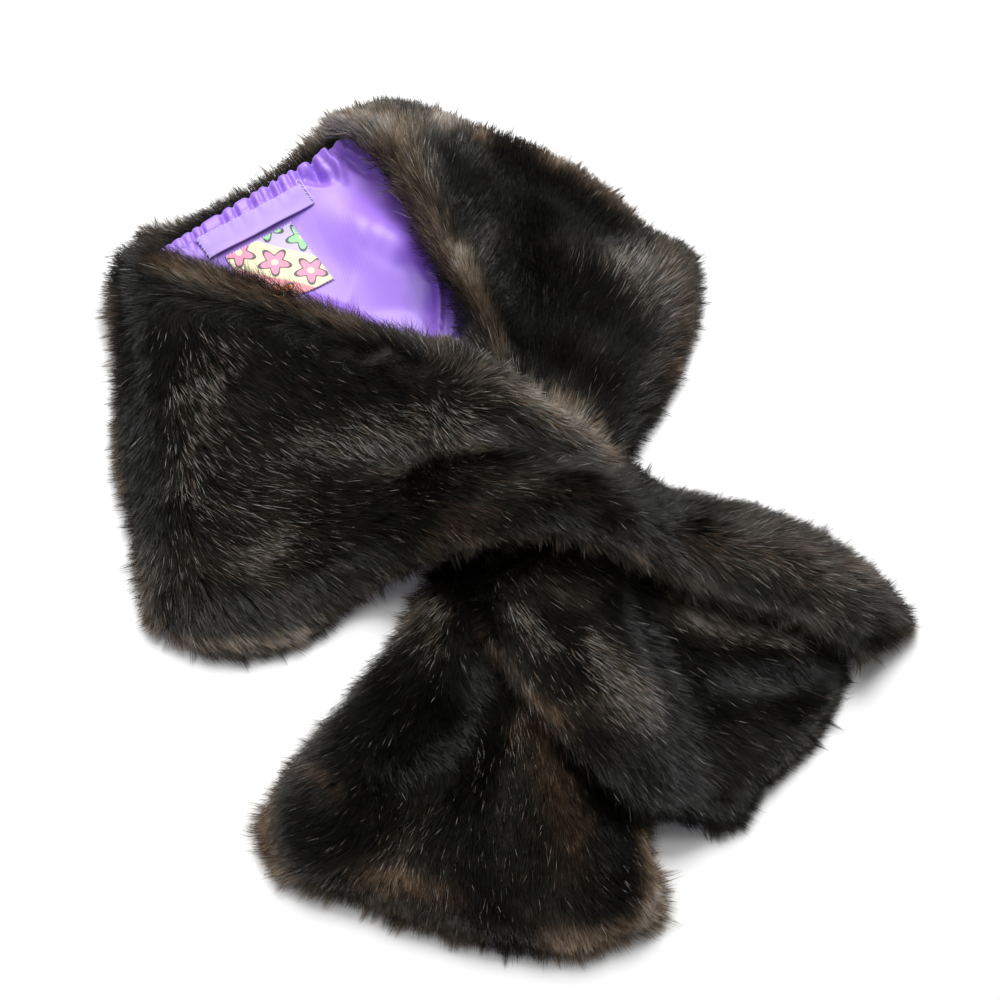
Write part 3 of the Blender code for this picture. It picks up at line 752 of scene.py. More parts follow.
# %% Chart where the brown hairs show
Brown = namedtuple("Brown", "px0 py0 px1 py1 px2 py2 reach share")
BROWNS = [Brown(*row) for row in (
    (150, 256, 270, 292, 372, 324, 11, 0.8), (372, 324, 400, 332, 442, 346, 9, 0.5),
    (104, 290, 108, 440, 150, 622, 10, 0.6), (160, 634, 230, 654, 300, 636, 10, 0.4),
    (436, 542, 450, 522, 475, 514, 16, 0.6), (590, 500, 640, 530, 700, 562, 26, 0.6),
    (290, 636, 335, 612, 400, 577, 12, 0.4), (470, 545, 560, 533, 645, 556, 9, 0.4),
    (395, 140, 425, 220, 480, 322, 20, 0.7), (325, 121, 380, 106, 442, 114, 14, 0.4),
    (480, 130, 560, 160, 642, 215, 12, 0.7), (690, 290, 684, 360, 648, 424, 20, 0.6),
    (570, 350, 600, 380, 620, 420, 24, 0.4), (560, 405, 590, 425, 612, 458, 12, 0.5),
    (700, 520, 780, 548, 850, 590, 20, 0.4), (840, 560, 896, 600, 912, 640, 16, 0.5),
    (478, 622, 520, 690, 600, 752, 11, 0.7), (560, 690, 600, 720, 650, 770, 18, 0.4),
    (543, 730, 565, 790, 582, 870, 24, 0.95), (268, 790, 262, 840, 284, 884, 18, 0.9),
    (284, 886, 330, 900, 402, 912, 14, 0.6), (358, 868, 410, 880, 470, 904, 18, 0.9),
    (408, 922, 460, 938, 512, 944, 12, 0.7), (500, 926, 570, 948, 652, 926, 18, 0.9),
    (650, 838, 660, 880, 658, 926, 14, 0.9), (404, 620, 340, 710, 280, 780, 16, 0.5),
    (306, 766, 318, 774, 337, 786, 14, 0.8), (124, 240, 230, 194, 332, 121, 12, 0.4),
)]
BASE_BROWN = 0.15  # the share of brown hairs elsewhere


def brown_share(points):
    share = np.full(len(points), BASE_BROWN)
    for brown, close, near in felt_rows(points, BROWNS):
        share[close] = np.maximum(share[close], brown.share * near)
    return share


# %% Choose the tone of each hair
BASE_TONE = 0.24
CHARTED_TONES = (-0.24, 0.62)  # the most that the chart takes away or adds
TONE_SPREAD = 0.07
PALE_TONES = (0.66, 0.99)
ALL_TONES = (0.01, 0.985)
GUARD_SHARE = 0.012  # of the hairs, those that are pale anyway
GLINT_SHARE = 0.80  # of the hairs, the share painted pale as a highlight where the chart says that all glints


def tone_of(points, normals, clump_tone, random):
    """How light each hair is, from 0, black, to 1, grey."""
    brown, glint = charted_tone_and_painted_light(points)
    # the chart's tone is brown colour and painted shade; glinting places get a paler tone as painted
    # highlight, and steep sides a slightly paler one
    steep = smoothstep(0.75, 0.1, normals[:, 2])
    tone = BASE_TONE + np.clip(brown, *CHARTED_TONES)
    tone = tone + 0.1 * np.maximum(glint, 0) + 0.05 * steep + clump_tone
    tone += random.normal(0, TONE_SPREAD, len(points))
    # pale hairs where the chart glints are painted highlights; dark places of the chart get fewer pale guard
    # hairs
    chance = GUARD_SHARE * np.clip(1 + 2 * glint, 0, 1) + GLINT_SHARE * np.clip(glint, 0, 0.6)
    guard = random.random(len(points)) < chance
    tone[guard] = random.uniform(*PALE_TONES, guard.sum())
    return np.clip(tone, *ALL_TONES)


# %% [markdown]
# ## The gathers at the neck
# A casing holds elastic along the back of the neck, and the elastic pulls the satin into small
# puckers. Each is a soft trough that is deepest at the edge and dies away in the lining. No two
# are alike, so each has its own row here. Lining and casing share this relief, so that a trough
# runs on from one to the other.

# %% Chart the gathers
CASING_START, CASING_END = (np.array(end) * MM + (FOOTPRINT_X, FOOTPRINT_Y)
                            for end in ((-219, 221), (-99, 312)))

Gather = namedtuple("Gather", "share depth half_width reach")  # millimetres, but for the share
GATHERS = [Gather(*row) for row in (
    (0.06, 2.2, 1.8, 12), (0.11, 2, 2, 12), (0.161, 3.8, 1.9, 17), (0.208, 3.6, 1.7, 14),
    (0.316, 4.2, 3.2, 18), (0.378, 5, 2.1, 18), (0.461, 5.4, 3, 19), (0.507, 2.6, 1.8, 12),
    (0.559, 5.4, 3.2, 19), (0.606, 5, 2.2, 17), (0.657, 3, 2, 13), (0.705, 5.2, 2.5, 14),
    (0.78, 5.6, 3, 16), (0.87, 4.2, 2.4, 13), (0.95, 3.8, 2.8, 13),
)]
SLANT = 0.3  # how far a trough runs sideways for each step away from the edge
TROUGH_SPREAD = 0.10  # how much wider it gets for each step away
EDGE_SHARE = 0.3  # of its depth, what a trough has at the very edge
DEEPEST = 4.0 * MM  # how far from the edge it comes to its full depth
PUFF = 7.2 * MM  # how much the satin swells between the troughs
PUFF_PLACE = 8.0 * MM
PUFF_REACH = 20.0 * MM


def beside_casing(plan):
    """The share of the casing's length and the distance from the neck edge, on the plan."""
    run = CASING_END - CASING_START
    length = np.linalg.norm(run)
    ahead = run / length
    inward = np.array([ahead[1], -ahead[0]])
    return (plan - CASING_START) @ ahead / length, (plan - CASING_START) @ inward, length


def gathered(plan):
    """How deep in a trough each point lies, in metres."""
    share, away, length = beside_casing(plan)
    away = np.maximum(away, 0)
    sunk = np.zeros(len(plan))
    for gather in GATHERS:
        reach = gather.half_width * MM + TROUGH_SPREAD * away
        aside = np.abs((share - gather.share) * length + SLANT * away)
        fade = np.clip(1 - away / (gather.reach * MM), 0, 1)
        fade *= EDGE_SHARE + (1 - EDGE_SHARE) * smoothstep(0, DEEPEST, away)
        sunk += gather.depth * MM * fade * np.cos(math.pi / 2 * np.clip(aside / reach, 0, 1)) ** 2
    return sunk


def puffed(plan):
    share, away, _ = beside_casing(plan)
    ends = smoothstep(-0.10, 0.0, share) * smoothstep(1.16, 1.0, share)
    return PUFF * ends * np.exp(-(((away - PUFF_PLACE) / PUFF_REACH) ** 2))


# %% [markdown]
# ## The lining
# The lining is the smooth side of the wrap, seen through the neck opening. Cloth simulation
# would give it chance folds, but this one lies in a few known creases, so it is a fine grid
# laid on the frame's form with each crease drawn one by one. A row gives a crease's start, middle
# and end in picture pixels, how high it stands or sinks, and half its width in pixels.
# In its deepest dips its colour is darkened by a painted shade.

# %% Chart the lining's creases
Crease = namedtuple("Crease", "px0 py0 px1 py1 px2 py2 height half_width")
CREASES = [
    Crease(298, 170, 312, 178, 330, 176, -6.0, 10),  # the deep hollow under the last gathers
    Crease(308, 157, 314, 166, 324, 176, -4.0, 7),
    Crease(320, 149, 337, 158, 342, 178, 5.0, 7),  # the pale lobe beside it
    Crease(327, 143, 340, 153, 359, 156, -4.0, 5),
    Crease(331, 138, 342, 143, 352, 150, 3.0, 5),  # the small ruffle above
    Crease(339, 138, 342, 142, 344, 147, -2.5, 3),
    Crease(344, 158, 358, 163, 372, 172, -5.5, 9),
    Crease(300, 205, 345, 222, 390, 240, 4.0, 46),  # swelling up in the middle
    Crease(366, 222, 398, 240, 432, 250, 5.0, 28),
    Crease(430, 170, 448, 232, 470, 305, -7.0, 60),  # dipping away under the roll of fur
    Crease(340, 306, 396, 322, 450, 338, -8.0, 62),
    Crease(290, 304, 350, 326, 410, 346, 9.0, 25),  # rising again to the fur in front
    Crease(433, 270, 444, 292, 436, 336, 9.0, 5),  # the small standing crease
    Crease(450, 292, 456, 310, 450, 334, 3.5, 8),
]
CREASE_ENDS = (0.04, 0.96)  # beyond these shares of its length a crease fades no further
CREASE_FADE = 0.6  # less than 1, so that it is nearly full for most of its length


def creased(points):
    """How far the charted creases lift these points."""
    seen = in_picture(points)
    lift = np.zeros(len(points))
    for crease in CREASES:
        close, away, share = off_curve(seen, crease, crease.half_width)
        across = np.clip(away / crease.half_width, 0, 1)
        fade = np.sin(math.pi * np.clip(share, *CREASE_ENDS)) ** CREASE_FADE
        lift[close] += crease.height * MM * fade * np.cos(math.pi / 2 * across) ** 2
    return lift


# %% Define how cloth is laid
NECK_EDGE = [(-226, 214), (-205, 232), (-180, 251), (-155, 270), (-130, 288), (-107, 304), (-88, 304)]
HEM_EDGE = [(-220, 190), (-180, 172), (-140, 152), (-98, 131), (-56, 113), (-14, 104), (-2, 138)]
LINING_GRID = (190, 72)
LINING_SOFTEN = 12
LINING_LEVEL = 16.5 * MM  # the most that the frame's lining counts for close to the neck
LINING_CLIMB = 4.0 * MM  # and how much more further in
LINING_LEAST = 9.0 * MM  # clear of the cloth below
CLOTH_THICKNESS = 0.5 * MM


def node_tree(node):
    """A frame node's surface, for finding what is near it."""
    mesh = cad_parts[node].data
    mesh.calc_loop_triangles()
    return BVHTree.FromPolygons([v.co for v in mesh.vertices], [t.vertices for t in mesh.loop_triangles])


def nearest(points, targets):
    """For each point, the number of the nearest target."""
    tree = KDTree(len(targets))
    for index, target in enumerate(targets):
        tree.insert(target, index)
    tree.balance()
    return np.array([tree.find(point)[1] for point in points], int)


def spread_along(points, count):
    """Evenly spaced places on the line through these plan points."""
    points = np.array(points, float) * MM + (FOOTPRINT_X, FOOTPRINT_Y)
    reached = np.concatenate([[0], np.cumsum(np.linalg.norm(np.diff(points, axis=0), axis=1))])
    at = np.linspace(0, reached[-1], count)
    return np.column_stack([np.interp(at, reached, points[:, axis]) for axis in range(2)])


def height_on(trees, plan):
    """How high these surfaces lie at each plan point, or at the nearest one that they cover."""
    heights = np.full(len(plan), np.nan)
    for index, (x, y) in enumerate(plan):
        hits = [tree.ray_cast(Vector((x, y, 0.5)), Vector((0, 0, -1)))[0] for tree in trees]
        heights[index] = max([hit.z for hit in hits if hit], default=np.nan)
    missed = np.isnan(heights)
    flat = np.column_stack([plan, np.zeros(len(plan))])
    heights[missed] = heights[~missed][nearest(flat[missed], flat[~missed])]
    return heights


def soften_grid(heights, times):
    for _ in range(times):
        wide = np.pad(heights, 1, mode="edge")
        around = wide[:-2, 1:-1] + wide[2:, 1:-1] + wide[1:-1, :-2] + wide[1:-1, 2:]
        heights = 0.5 * heights + 0.125 * around
    return heights


def grid_faces(rows, columns):
    corner = (np.arange(rows - 1)[:, None] * columns + np.arange(columns - 1)).ravel()
    return np.column_stack([corner, corner + columns, corner + columns + 1, corner + 1])


def add_piece(name, mesh, materials):
    """A smooth visible piece that rides on the frame."""
    mesh.polygons.foreach_set("use_smooth", np.ones(len(mesh.polygons), bool))
    for material in materials:
        mesh.materials.append(material)
    obj = add_object(name, mesh)
    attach(obj, "root")
    return obj


def lay_cloth(name, points, material, node):
    """A piece of thin cloth from a grid of points, in place of a frame node."""
    rows, columns = points.shape[:2]
    faces = grid_faces(rows, columns)
    mesh = bpy.data.meshes.new(name)
    mesh.from_pydata(points.reshape(-1, 3).tolist(), [], faces.tolist())
    if mesh.polygons[0].normal.z < 0:
        mesh.flip_normals()
    share = np.stack(np.meshgrid(np.linspace(0, 1, rows), np.linspace(1, 0, columns), indexing="ij"), -1)
    order = np.array([loop.vertex_index for loop in mesh.loops])
    flat_map = mesh.uv_layers.new(name="cut")
    flat_map.data.foreach_set("uv", share.reshape(-1, 2)[order].astype(np.float32).ravel())
    obj = add_piece(name, mesh, [material])
    thick = obj.modifiers.new("thickness", "SOLIDIFY")
    thick.thickness = CLOTH_THICKNESS
    thick.offset = -1
    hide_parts(node)
    print(name, len(faces), "faces,", round(sum(face.area for face in mesh.polygons) * 1e4, 1), "cm2")
    return obj


def cloth_tree(points):
    rows, columns = points.shape[:2]
    return surface_tree(points.reshape(-1, 3), grid_faces(rows, columns))


# %% Lay the lining
def lining_points():
    rows, columns = LINING_GRID
    neck, hem = spread_along(NECK_EDGE, rows), spread_along(HEM_EDGE, rows)
    share = (np.linspace(0, 1, columns) ** 1.3)[None, :, None]  # finer towards the gathers
    plan = neck[:, None] + (hem - neck)[:, None] * share
    flat = plan.reshape(-1, 2)
    level = height_on([node_tree("satin_lining")], flat).reshape(rows, columns)
    _, away, _ = beside_casing(flat)
    most = LINING_LEVEL + LINING_CLIMB * smoothstep(14 * MM, 30 * MM, away)
    level = soften_grid(np.minimum(level, most.reshape(rows, columns)), LINING_SOFTEN)
    points = np.dstack([plan, level]).reshape(-1, 3)
    points[:, 2] += puffed(flat)
    points[:, 2] += creased(points) - gathered(flat)
    points[:, 2] = np.maximum(points[:, 2], LINING_LEAST)
    return points.reshape(rows, columns, 3)


lining_grid = lining_points()
lining = lay_cloth("satin_lining_cloth", lining_grid, satin, "satin_lining")

# %% Paint shade into the satin's dips
# each row: a painted shade on the satin, its curve in picture pixels, its reach and how dark it is
PaintedSatinShade = namedtuple("PaintedSatinShade", "px0 py0 px1 py1 px2 py2 reach deep")
PAINTED_SATIN_SHADES = [
    PaintedSatinShade(404, 262, 420, 278, 428, 296, 17, 0.42),
    PaintedSatinShade(376, 286, 396, 300, 420, 308, 12, 0.14),
    PaintedSatinShade(346, 150, 358, 156, 372, 166, 7, 0.30),
    PaintedSatinShade(300, 166, 312, 172, 326, 172, 5, 0.20),
]


def paint_satin_shade(cloth, points):
    """Notes on the cloth how much painted shade each of its points gets."""
    deep = np.zeros(len(points))
    for painted_shade, close, near in felt_rows(points, PAINTED_SATIN_SHADES):
        deep[close] += painted_shade.deep * near
    noted = cloth.data.attributes.new(PAINTED_SHADE_ATTRIBUTE, "FLOAT", "POINT")
    noted.data.foreach_set("value", deep.astype(np.float32))


paint_satin_shade(lining, lining_grid.reshape(-1, 3))

# %% [markdown]
# ## Growing the hairs
# A particle system would be the usual way to grow fur, but its hairs are no mesh, and a part
# that others reuse needs one. So the hairs are made here as one joined mesh for each stretch.
# Each hair is a narrow blade of two triangles: a point at its root, widest at its middle, where
# it bends over, and a point at its tip. Blades are flat, so each is turned a random amount
# about its own length, and just some of them catch the light, as round glossy hairs do.
# Hairs cling together in clumps, so each leans towards the hair in the middle of its clump.
# Those that would come up through the satin are left out, which is why it was laid first.

# %% Chart the wispy hems
Wisp = namedtuple("Wisp", "px0 py0 px1 py1 px2 py2 reach longer")  # a share of the hairs' length
WISPS = [Wisp(*row) for row in (
    (262, 796, 250, 842, 280, 890, 18, 0.65), (280, 890, 370, 922, 500, 952, 16, 0.35),
    (520, 956, 600, 976, 660, 920, 20, 0.65), (660, 840, 680, 880, 660, 926, 16, 0.5),
    (840, 690, 890, 664, 922, 632, 14, 0.15), (150, 636, 230, 668, 310, 636, 12, 0.25),
    (660, 838, 750, 850, 846, 694, 12, 0.3), (400, 610, 330, 720, 262, 796, 12, 0.3),
)]


def wispy(points):
    """How much longer than the rest the hairs at these points are."""
    longer = np.zeros(len(points))
    for wisp, close, near in felt_rows(points, WISPS):
        longer[close] = np.maximum(longer[close], wisp.longer * near)
    return longer[:, None]


# %% Define how hairs grow
HAIR_WIDTH = 0.33 * MM
CLUMP_AREA = 13.0  # square millimetres of skin to a clump
COVERED = 3.0 * MM  # skin closer than this to another piece grows no hairs

PROUD = (-3.0 * MM, 1.2 * MM)  # how far past the skin a tip reaches
RIM_PROUD = (-7.0 * MM, 16.0 * MM)  # and how much more on a steep side, where few reach far
BACK_PROUD = 4.0 * MM  # more again at the back, and less at the front, where hems hang down

RIM_CLING = 0.35  # how much more hairs cling together at the rims, in spiky locks
LOCK_LENGTHS = (0.70, 1.35)  # of the pile's length, for the hair in the middle of a clump
HAIR_LENGTHS = (0.70, 1.10)
FLING = 1.8  # above 1, so that few hairs reach far past the rim
LEAST_STAND = 1.2 * MM
UPRIGHT_MOST = 0.6  # how far a dark place of the chart can make hairs stand up
LEAST_LIE = 0.3  # of its length, the least that a hair runs along the skin
FLOOR_CLEAR = 0.3 * MM
BENDS = (0.10, 0.22)  # how far a hair's middle stands out, as a share of its stand
BEND_PLACE = 0.46  # and where along it
BARE_BELOW = -0.45  # the height of a normal from which a face looks down and stays bare

Hairs = namedtuple("Hairs", "roots middles tips normals tone brown")


def bare_faces(name, skin):
    """True for the skin's faces that look down or that another piece lies on."""
    centres = skin.points[skin.faces].mean(1)
    normals = unit(skin.normals[skin.faces].mean(1))
    bare = normals[:, 2] < BARE_BELOW
    others = [surface_tree(s.points, s.faces) for other, s in skins.items() if other != name]
    others += [node_tree(node) for node in ("satin_lining", "gathered_casing")]
    for index in np.flatnonzero(~bare):
        start = Vector(centres[index] - normals[index] * MM)
        for tree in others:
            if tree.ray_cast(start, Vector(normals[index]), COVERED + MM)[0]:
                bare[index] = True
    return bare


def face_areas(skin):
    first, second, third = skin.points[skin.faces].transpose(1, 0, 2)
    return np.linalg.norm(np.cross(second - first, third - first), axis=1) / 2


def scatter(skin, weight, count, random):
    """Points spread over the skin's faces by their area and weight."""
    chance = face_areas(skin) * weight
    chosen = random.choice(len(chance), count, p=chance / chance.sum())
    share = random.random((count, 2))
    over = share.sum(1) > 1
    share[over] = 1 - share[over]
    weights = np.column_stack([1 - share.sum(1), share])[..., None]
    at = skin.faces[chosen]
    points = (skin.points[at] * weights).sum(1)
    normals = unit((skin.normals[at] * weights).sum(1))
    depth = (skin.depth[at][..., None] * weights).sum(1)
    return points, normals, depth


def rough(random, points, size):
    """A soft random field over the plan, from -1 to 1, with spots of about this size."""
    field = np.zeros(len(points))
    for _ in range(6):
        way = random.normal(size=3) * 2.2 / size
        field += np.sin(points @ way + random.random() * 2 * math.pi)
    return np.clip(field / 3, -1, 1)


def grow(name, skin, points, normals, depth, sway, reach, lengths, random):
    """Root, middle and tip of a hair at each point."""
    lie = nap_direction(name, points, normals, sway)
    longer = 1 + wispy(points)
    length = reach * longer * random.uniform(*lengths, (len(points), 1))
    steep = 1 - np.clip(normals[:, 2:], 0, 1)
    proud = random.uniform(*PROUD, (len(points), 1))
    fling = random.random((len(points), 1)) ** FLING
    proud += steep * (RIM_PROUD[0] + (RIM_PROUD[1] * longer - RIM_PROUD[0]) * fling)
    proud += BACK_PROUD * normals[:, 1:2] * np.where(normals[:, 1:2] > 0, 1.0, 0.8)
    stand = np.maximum(depth + proud, LEAST_STAND)
    _, glint = charted_tone_and_painted_light(points)
    upright = np.clip(-glint, 0, UPRIGHT_MOST)[:, None]
    along = np.sqrt(np.maximum(length**2 - stand**2, (LEAST_LIE * length) ** 2)) * (1 - upright)
    roots = points - normals * depth
    tips = roots + lie * along + normals * stand
    close = nearest(tips, skin.points)
    outside = dot(tips - skin.points[close], skin.normals[close]) - proud
    tips -= skin.normals[close] * outside * np.where(outside > 0, 0.8 - 0.5 * steep, 0.6)
    tips[:, 2] = np.maximum(tips[:, 2], FLOOR_CLEAR)
    bend = random.uniform(*BENDS, (len(points), 1))
    middles = roots + BEND_PLACE * (tips - roots) + normals * bend * stand
    return roots, middles, tips


# %% [markdown]
# ## From hairs to a mesh
# Each blade is flat, but its two middle corners get normals that lean outwards, so it takes
# the light as a round hair does: the sheen then runs across many hairs at once, as on real
# fur. The map gives a blade its tone across and its root-to-tip colour upwards.

# %% Define how hairs become a mesh
TURN_SPREAD = math.radians(40)
HALF_WIDTHS = (0.32, 0.62)  # of a blade, as shares of the usual width
ROUNDING = math.radians(62)  # how far a middle corner's normal leans outwards
MAP_MARGIN = 0.004  # half a hair's width on its map
MAP_HEIGHTS = (0.01, 0.46, 0.46, 0.99)  # of a blade's root, two middle corners and tip


def hair_mesh(name, hairs, random):
    """One mesh of two-triangle blades, with the map that gives each its tone."""
    count = len(hairs.roots)
    ahead = unit(hairs.tips - hairs.roots)
    side = unit(np.cross(ahead, hairs.normals))
    turn = random.uniform(-TURN_SPREAD, TURN_SPREAD, (count, 1))
    face = np.cross(side, ahead)
    side, face = side * np.cos(turn) + face * np.sin(turn), face * np.cos(turn) - side * np.sin(turn)
    half = side * HAIR_WIDTH * random.uniform(*HALF_WIDTHS, (count, 1))
    corners = np.stack([hairs.roots, hairs.middles - half, hairs.middles + half, hairs.tips], 1)
    lean = side * math.sin(ROUNDING)
    upright = face * math.cos(ROUNDING)
    shine = np.stack([face, upright - lean, upright + lean, face], 1)
    first = 4 * np.arange(count)[:, None]
    faces = np.concatenate([first + (0, 2, 1), first + (1, 2, 3)], 1).reshape(-1, 3)
    mesh = bpy.data.meshes.new(name)
    mesh.from_pydata(corners.reshape(-1, 3).tolist(), [], faces.tolist())
    obj = add_piece(name, mesh, [dark_hair, brown_hair])
    mesh.polygons.foreach_set("material_index", np.repeat(hairs.brown, 2).astype(np.int32))
    mesh.normals_split_custom_set_from_vertices(shine.reshape(-1, 3).tolist())
    left, right = hairs.tone - MAP_MARGIN, hairs.tone + MAP_MARGIN
    across = np.stack([hairs.tone, left, right, hairs.tone], 1)
    place = np.stack([across, np.broadcast_to(MAP_HEIGHTS, across.shape)], 2)
    corner_order = np.concatenate([place[:, [0, 2, 1]], place[:, [1, 2, 3]]], 1)
    mesh.uv_layers.new(name=HAIR_MAP).data.foreach_set("uv", corner_order.astype(np.float32).ravel())
    return obj


# %% Grow the pile of each stretch
Pile = namedtuple("Pile", "pelt node hairs length")
PILES = {
    "pile_left_front": Pile("pelt_left", "left_front", 97000, 22 * MM),
    "pile_right_tail_upper": Pile("pelt_left", "right_tail_upper", 46000, 24 * MM),
    "pile_right_front": Pile("pelt_right", "right_front", 90000, 22 * MM),
    "pile_lower_left_tail": Pile("pelt_right", "lower_left_tail", 87000, 25 * MM),
    "pile_right_tail_lower": Pile("pelt_tucked", "right_tail_lower", 72000, 25 * MM),
    "pile_back": Pile("pelt_back", "back_panel", 20000, 18 * MM),
}
CLUMP_SWAY = math.radians(7)  # how much clumps differ in heading
DRIFT, DRIFT_SIZE = math.radians(8), 40 * MM  # how much whole areas do, and how large these are
WANDER = math.radians(8)  # how much hairs of one clump do
CLUMP_TONE, SPOT_SIZE = 0.05, 22 * MM
CLING = (0.05, 0.5)  # how far hairs lean towards the middle of their clump
MIDDLE_CLING = 0.35  # of that, how far their middles do
SEEN_SHARE = 0.6  # how far along it a hair's place counts for its tone


def through_lining(roots, tips):
    """True for the hairs that would come up through the satin."""
    pierced = np.zeros(len(roots), bool)
    low, high = lining_grid.reshape(-1, 3).min(0), lining_grid.reshape(-1, 3).max(0)
    near = ((roots[:, :2] > low[:2]) & (roots[:, :2] < high[:2])).all(1)
    tree = cloth_tree(lining_grid)
    for index in np.flatnonzero(near):
        root, reach = Vector(roots[index]), Vector(tips[index] - roots[index])
        below = tree.ray_cast(root, Vector((0, 0, 1)), 0.1)[0] is not None
        pierced[index] = below and tree.ray_cast(root, reach.normalized(), reach.length)[0] is not None
    return pierced


def own_faces(skin, pelt, node):
    """The skin's faces that are nearer to this frame node than to the pelt's others."""
    centres = skin.points[skin.faces].mean(1)
    reach = [[tree.find_nearest(Vector(c))[3] for c in centres] for tree in map(node_tree, PELTS[pelt])]
    return np.argmin(reach, 0) == PELTS[pelt].index(node)


def grow_pile(name, pile, seed):
    random = np.random.default_rng(seed)
    skin = skins[pile.pelt]
    weight = own_faces(skin, pile.pelt, pile.node) & ~bare[pile.pelt]
    area = face_areas(skin)[weight].sum()
    clumps = int(area / MM**2 / CLUMP_AREA)
    centre, centre_normal, centre_depth = scatter(skin, weight, clumps, random)
    sway = random.normal(0, CLUMP_SWAY, clumps) + DRIFT * rough(random, centre, DRIFT_SIZE)
    core = grow(
        pile.pelt, skin, centre, centre_normal, centre_depth, sway, pile.length, LOCK_LENGTHS, random
    )
    clump_tone = random.normal(0, CLUMP_TONE, clumps) + CLUMP_TONE * rough(random, centre, SPOT_SIZE)

    points, normals, depth = scatter(skin, weight, pile.hairs, random)
    mine = nearest(points, centre)
    wander = random.normal(0, WANDER, pile.hairs)
    roots, middles, tips = grow(
        pile.pelt, skin, points, normals, depth, sway[mine] + wander, pile.length, HAIR_LENGTHS, random
    )
    steep = 1 - np.clip(normals[:, 2:], 0, 1)
    cling = random.uniform(*CLING, (pile.hairs, 1)) + RIM_CLING * steep
    tips += (core[2][mine] - tips) * cling
    middles += (core[1][mine] - middles) * cling * MIDDLE_CLING
    seen_at = (1 - SEEN_SHARE) * roots + SEEN_SHARE * tips
    tone = tone_of(seen_at, normals, clump_tone[mine], random)
    brown = random.random(pile.hairs) < brown_share(seen_at)
    clear = ~through_lining(roots, tips)
    hairs = Hairs(*[given[clear] for given in (roots, middles, tips, normals, tone, brown)])
    obj = hair_mesh(name, hairs, random)
    print(name, round(area * 1e4), "cm2,", pile.hairs, "hairs,", round(pile.hairs * MM**2 / area, 2), "a mm2")
    return obj


bare = {name: bare_faces(name, skin) for name, skin in skins.items()}
piles = {name: grow_pile(name, pile, seed) for seed, (name, pile) in enumerate(PILES.items(), 1)}

# %% [markdown]
# ## The casing
# The casing is the lining's own edge, turned over the elastic into a soft roll. Its section is
# a small loop of points: up from the neck edge, over the elastic and down into the lining. The
# loop is set down at many stations, sinks and draws in at each gather, and a subdivision
# surface rounds it. Its inner edge dips just under the lining, so no step shows between them,
# and its outer wall hangs down to the fur edge, so no gap shows from behind.

# %% Make the casing
CASING_STATIONS = 170
CASING_LOOP = [  # distance in from the neck edge and height over the lining, in millimetres
    (-1.2, -0.8), (-1.4, 0.2), (-0.9, 1.0), (0.2, 1.4), (2.2, 1.2), (4.4, 0.8), (6.6, 0.3),
    (8.8, -0.6), (6.0, -1.2), (3.4, -1.8), (1.8, -5.0), (1.2, -12.0), (-0.2, -12.0), (-0.6, -5.0),
]
DRAWN_IN = 0.9  # of a gather's depth, how far it pulls the neck edge inward
CASING_BOW = 1.0 * MM  # the edge isn't quite straight
CASING_WIDTH = 9.0  # millimetres in from the neck edge, where it is no longer drawn in
RUFFLE = 0.6  # how much fuller the roll is at its last gathers
RUFFLE_RUN = (0.82, 0.95)  # the shares of the casing between which it comes to that
FULLY_SUNK = 3.2 * MM  # the depth of a gather that flattens the roll most


def make_casing():
    run = CASING_END - CASING_START
    inward = np.array([run[1], -run[0]]) / np.linalg.norm(run)
    station = np.linspace(0.0, 1.0, CASING_STATIONS)
    line = CASING_START + run * station[:, None]
    line = line - inward * CASING_BOW * np.sin(math.pi * station)[:, None]
    edge_depth = gathered(line + inward * MM)
    full = 1 + RUFFLE * smoothstep(*RUFFLE_RUN, station)
    sunk = np.clip(edge_depth / FULLY_SUNK, 0, 0.75)
    plans, heights = [], []
    for away, over in CASING_LOOP:
        outer = 1 - smoothstep(0.0, CASING_WIDTH, max(away, 0.0))
        plans.append(line + inward * (away * MM + DRAWN_IN * edge_depth * outer)[:, None])
        heights.append(over * MM * (full * (1 - 0.6 * sunk) if over > 0 else np.ones_like(full)))
    plan = np.stack(plans, 1)
    level = height_on([cloth_tree(lining_grid)], plan.reshape(-1, 2)).reshape(plan.shape[:2])
    points = np.dstack([plan, level + np.stack(heights, 1)])
    around = len(CASING_LOOP)
    first = np.arange(CASING_STATIONS - 1)[:, None] * around
    turn = np.arange(around)
    after = (turn + 1) % around
    faces = np.stack([first + turn, first + after, first + around + after, first + around + turn], -1)
    faces = faces.reshape(-1, 4).tolist()
    last = (CASING_STATIONS - 1) * around
    faces += [list(range(around))[::-1], [last + index for index in range(around)]]
    mesh = bpy.data.meshes.new("gathered_casing_cloth")
    mesh.from_pydata(points.reshape(-1, 3).tolist(), [], faces)
    obj = add_piece("gathered_casing_cloth", mesh, [satin])
    rounded = obj.modifiers.new("rounded", "SUBSURF")
    rounded.levels = rounded.render_levels = 1
    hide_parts("gathered_casing")
    print("casing", len(faces), "faces,", round(sum(f.area for f in mesh.polygons) * 1e4, 1), "cm2")
    return obj


casing = make_casing()

# %% [markdown]
# ## The printed tag's pattern
# The tag is a small square of printed satin. Its print here is a common one: slanting bands in
# four pale colours, with a row of plain five-petalled flowers in each. Nodes draw it. One group
# turns a place in a square cell into three masks, for a petal, its dark outline and its heart.

# %% Build the flower group
PETALS = 5.0
PETAL_EDGE = (0.24, 0.76)  # how much a flower's radius swings, and its middle, as shares of its size
OUTLINE_EDGE = 1.22  # how far the dark outline reaches past the petals
HEART_EDGE = 0.24


def below(tree, value, limit, softness=0.05):
    """1 where the value is less than the limit, falling softly to 0."""
    node = add_node(tree, "MapRange", {"interpolation_type": "SMOOTHSTEP"}, {
        "From Min": limit - softness, "From Max": limit + softness, "To Min": 1.0, "To Max": 0.0,
    })
    tree.links.new(value, node.inputs["Value"])
    return node.outputs["Result"]


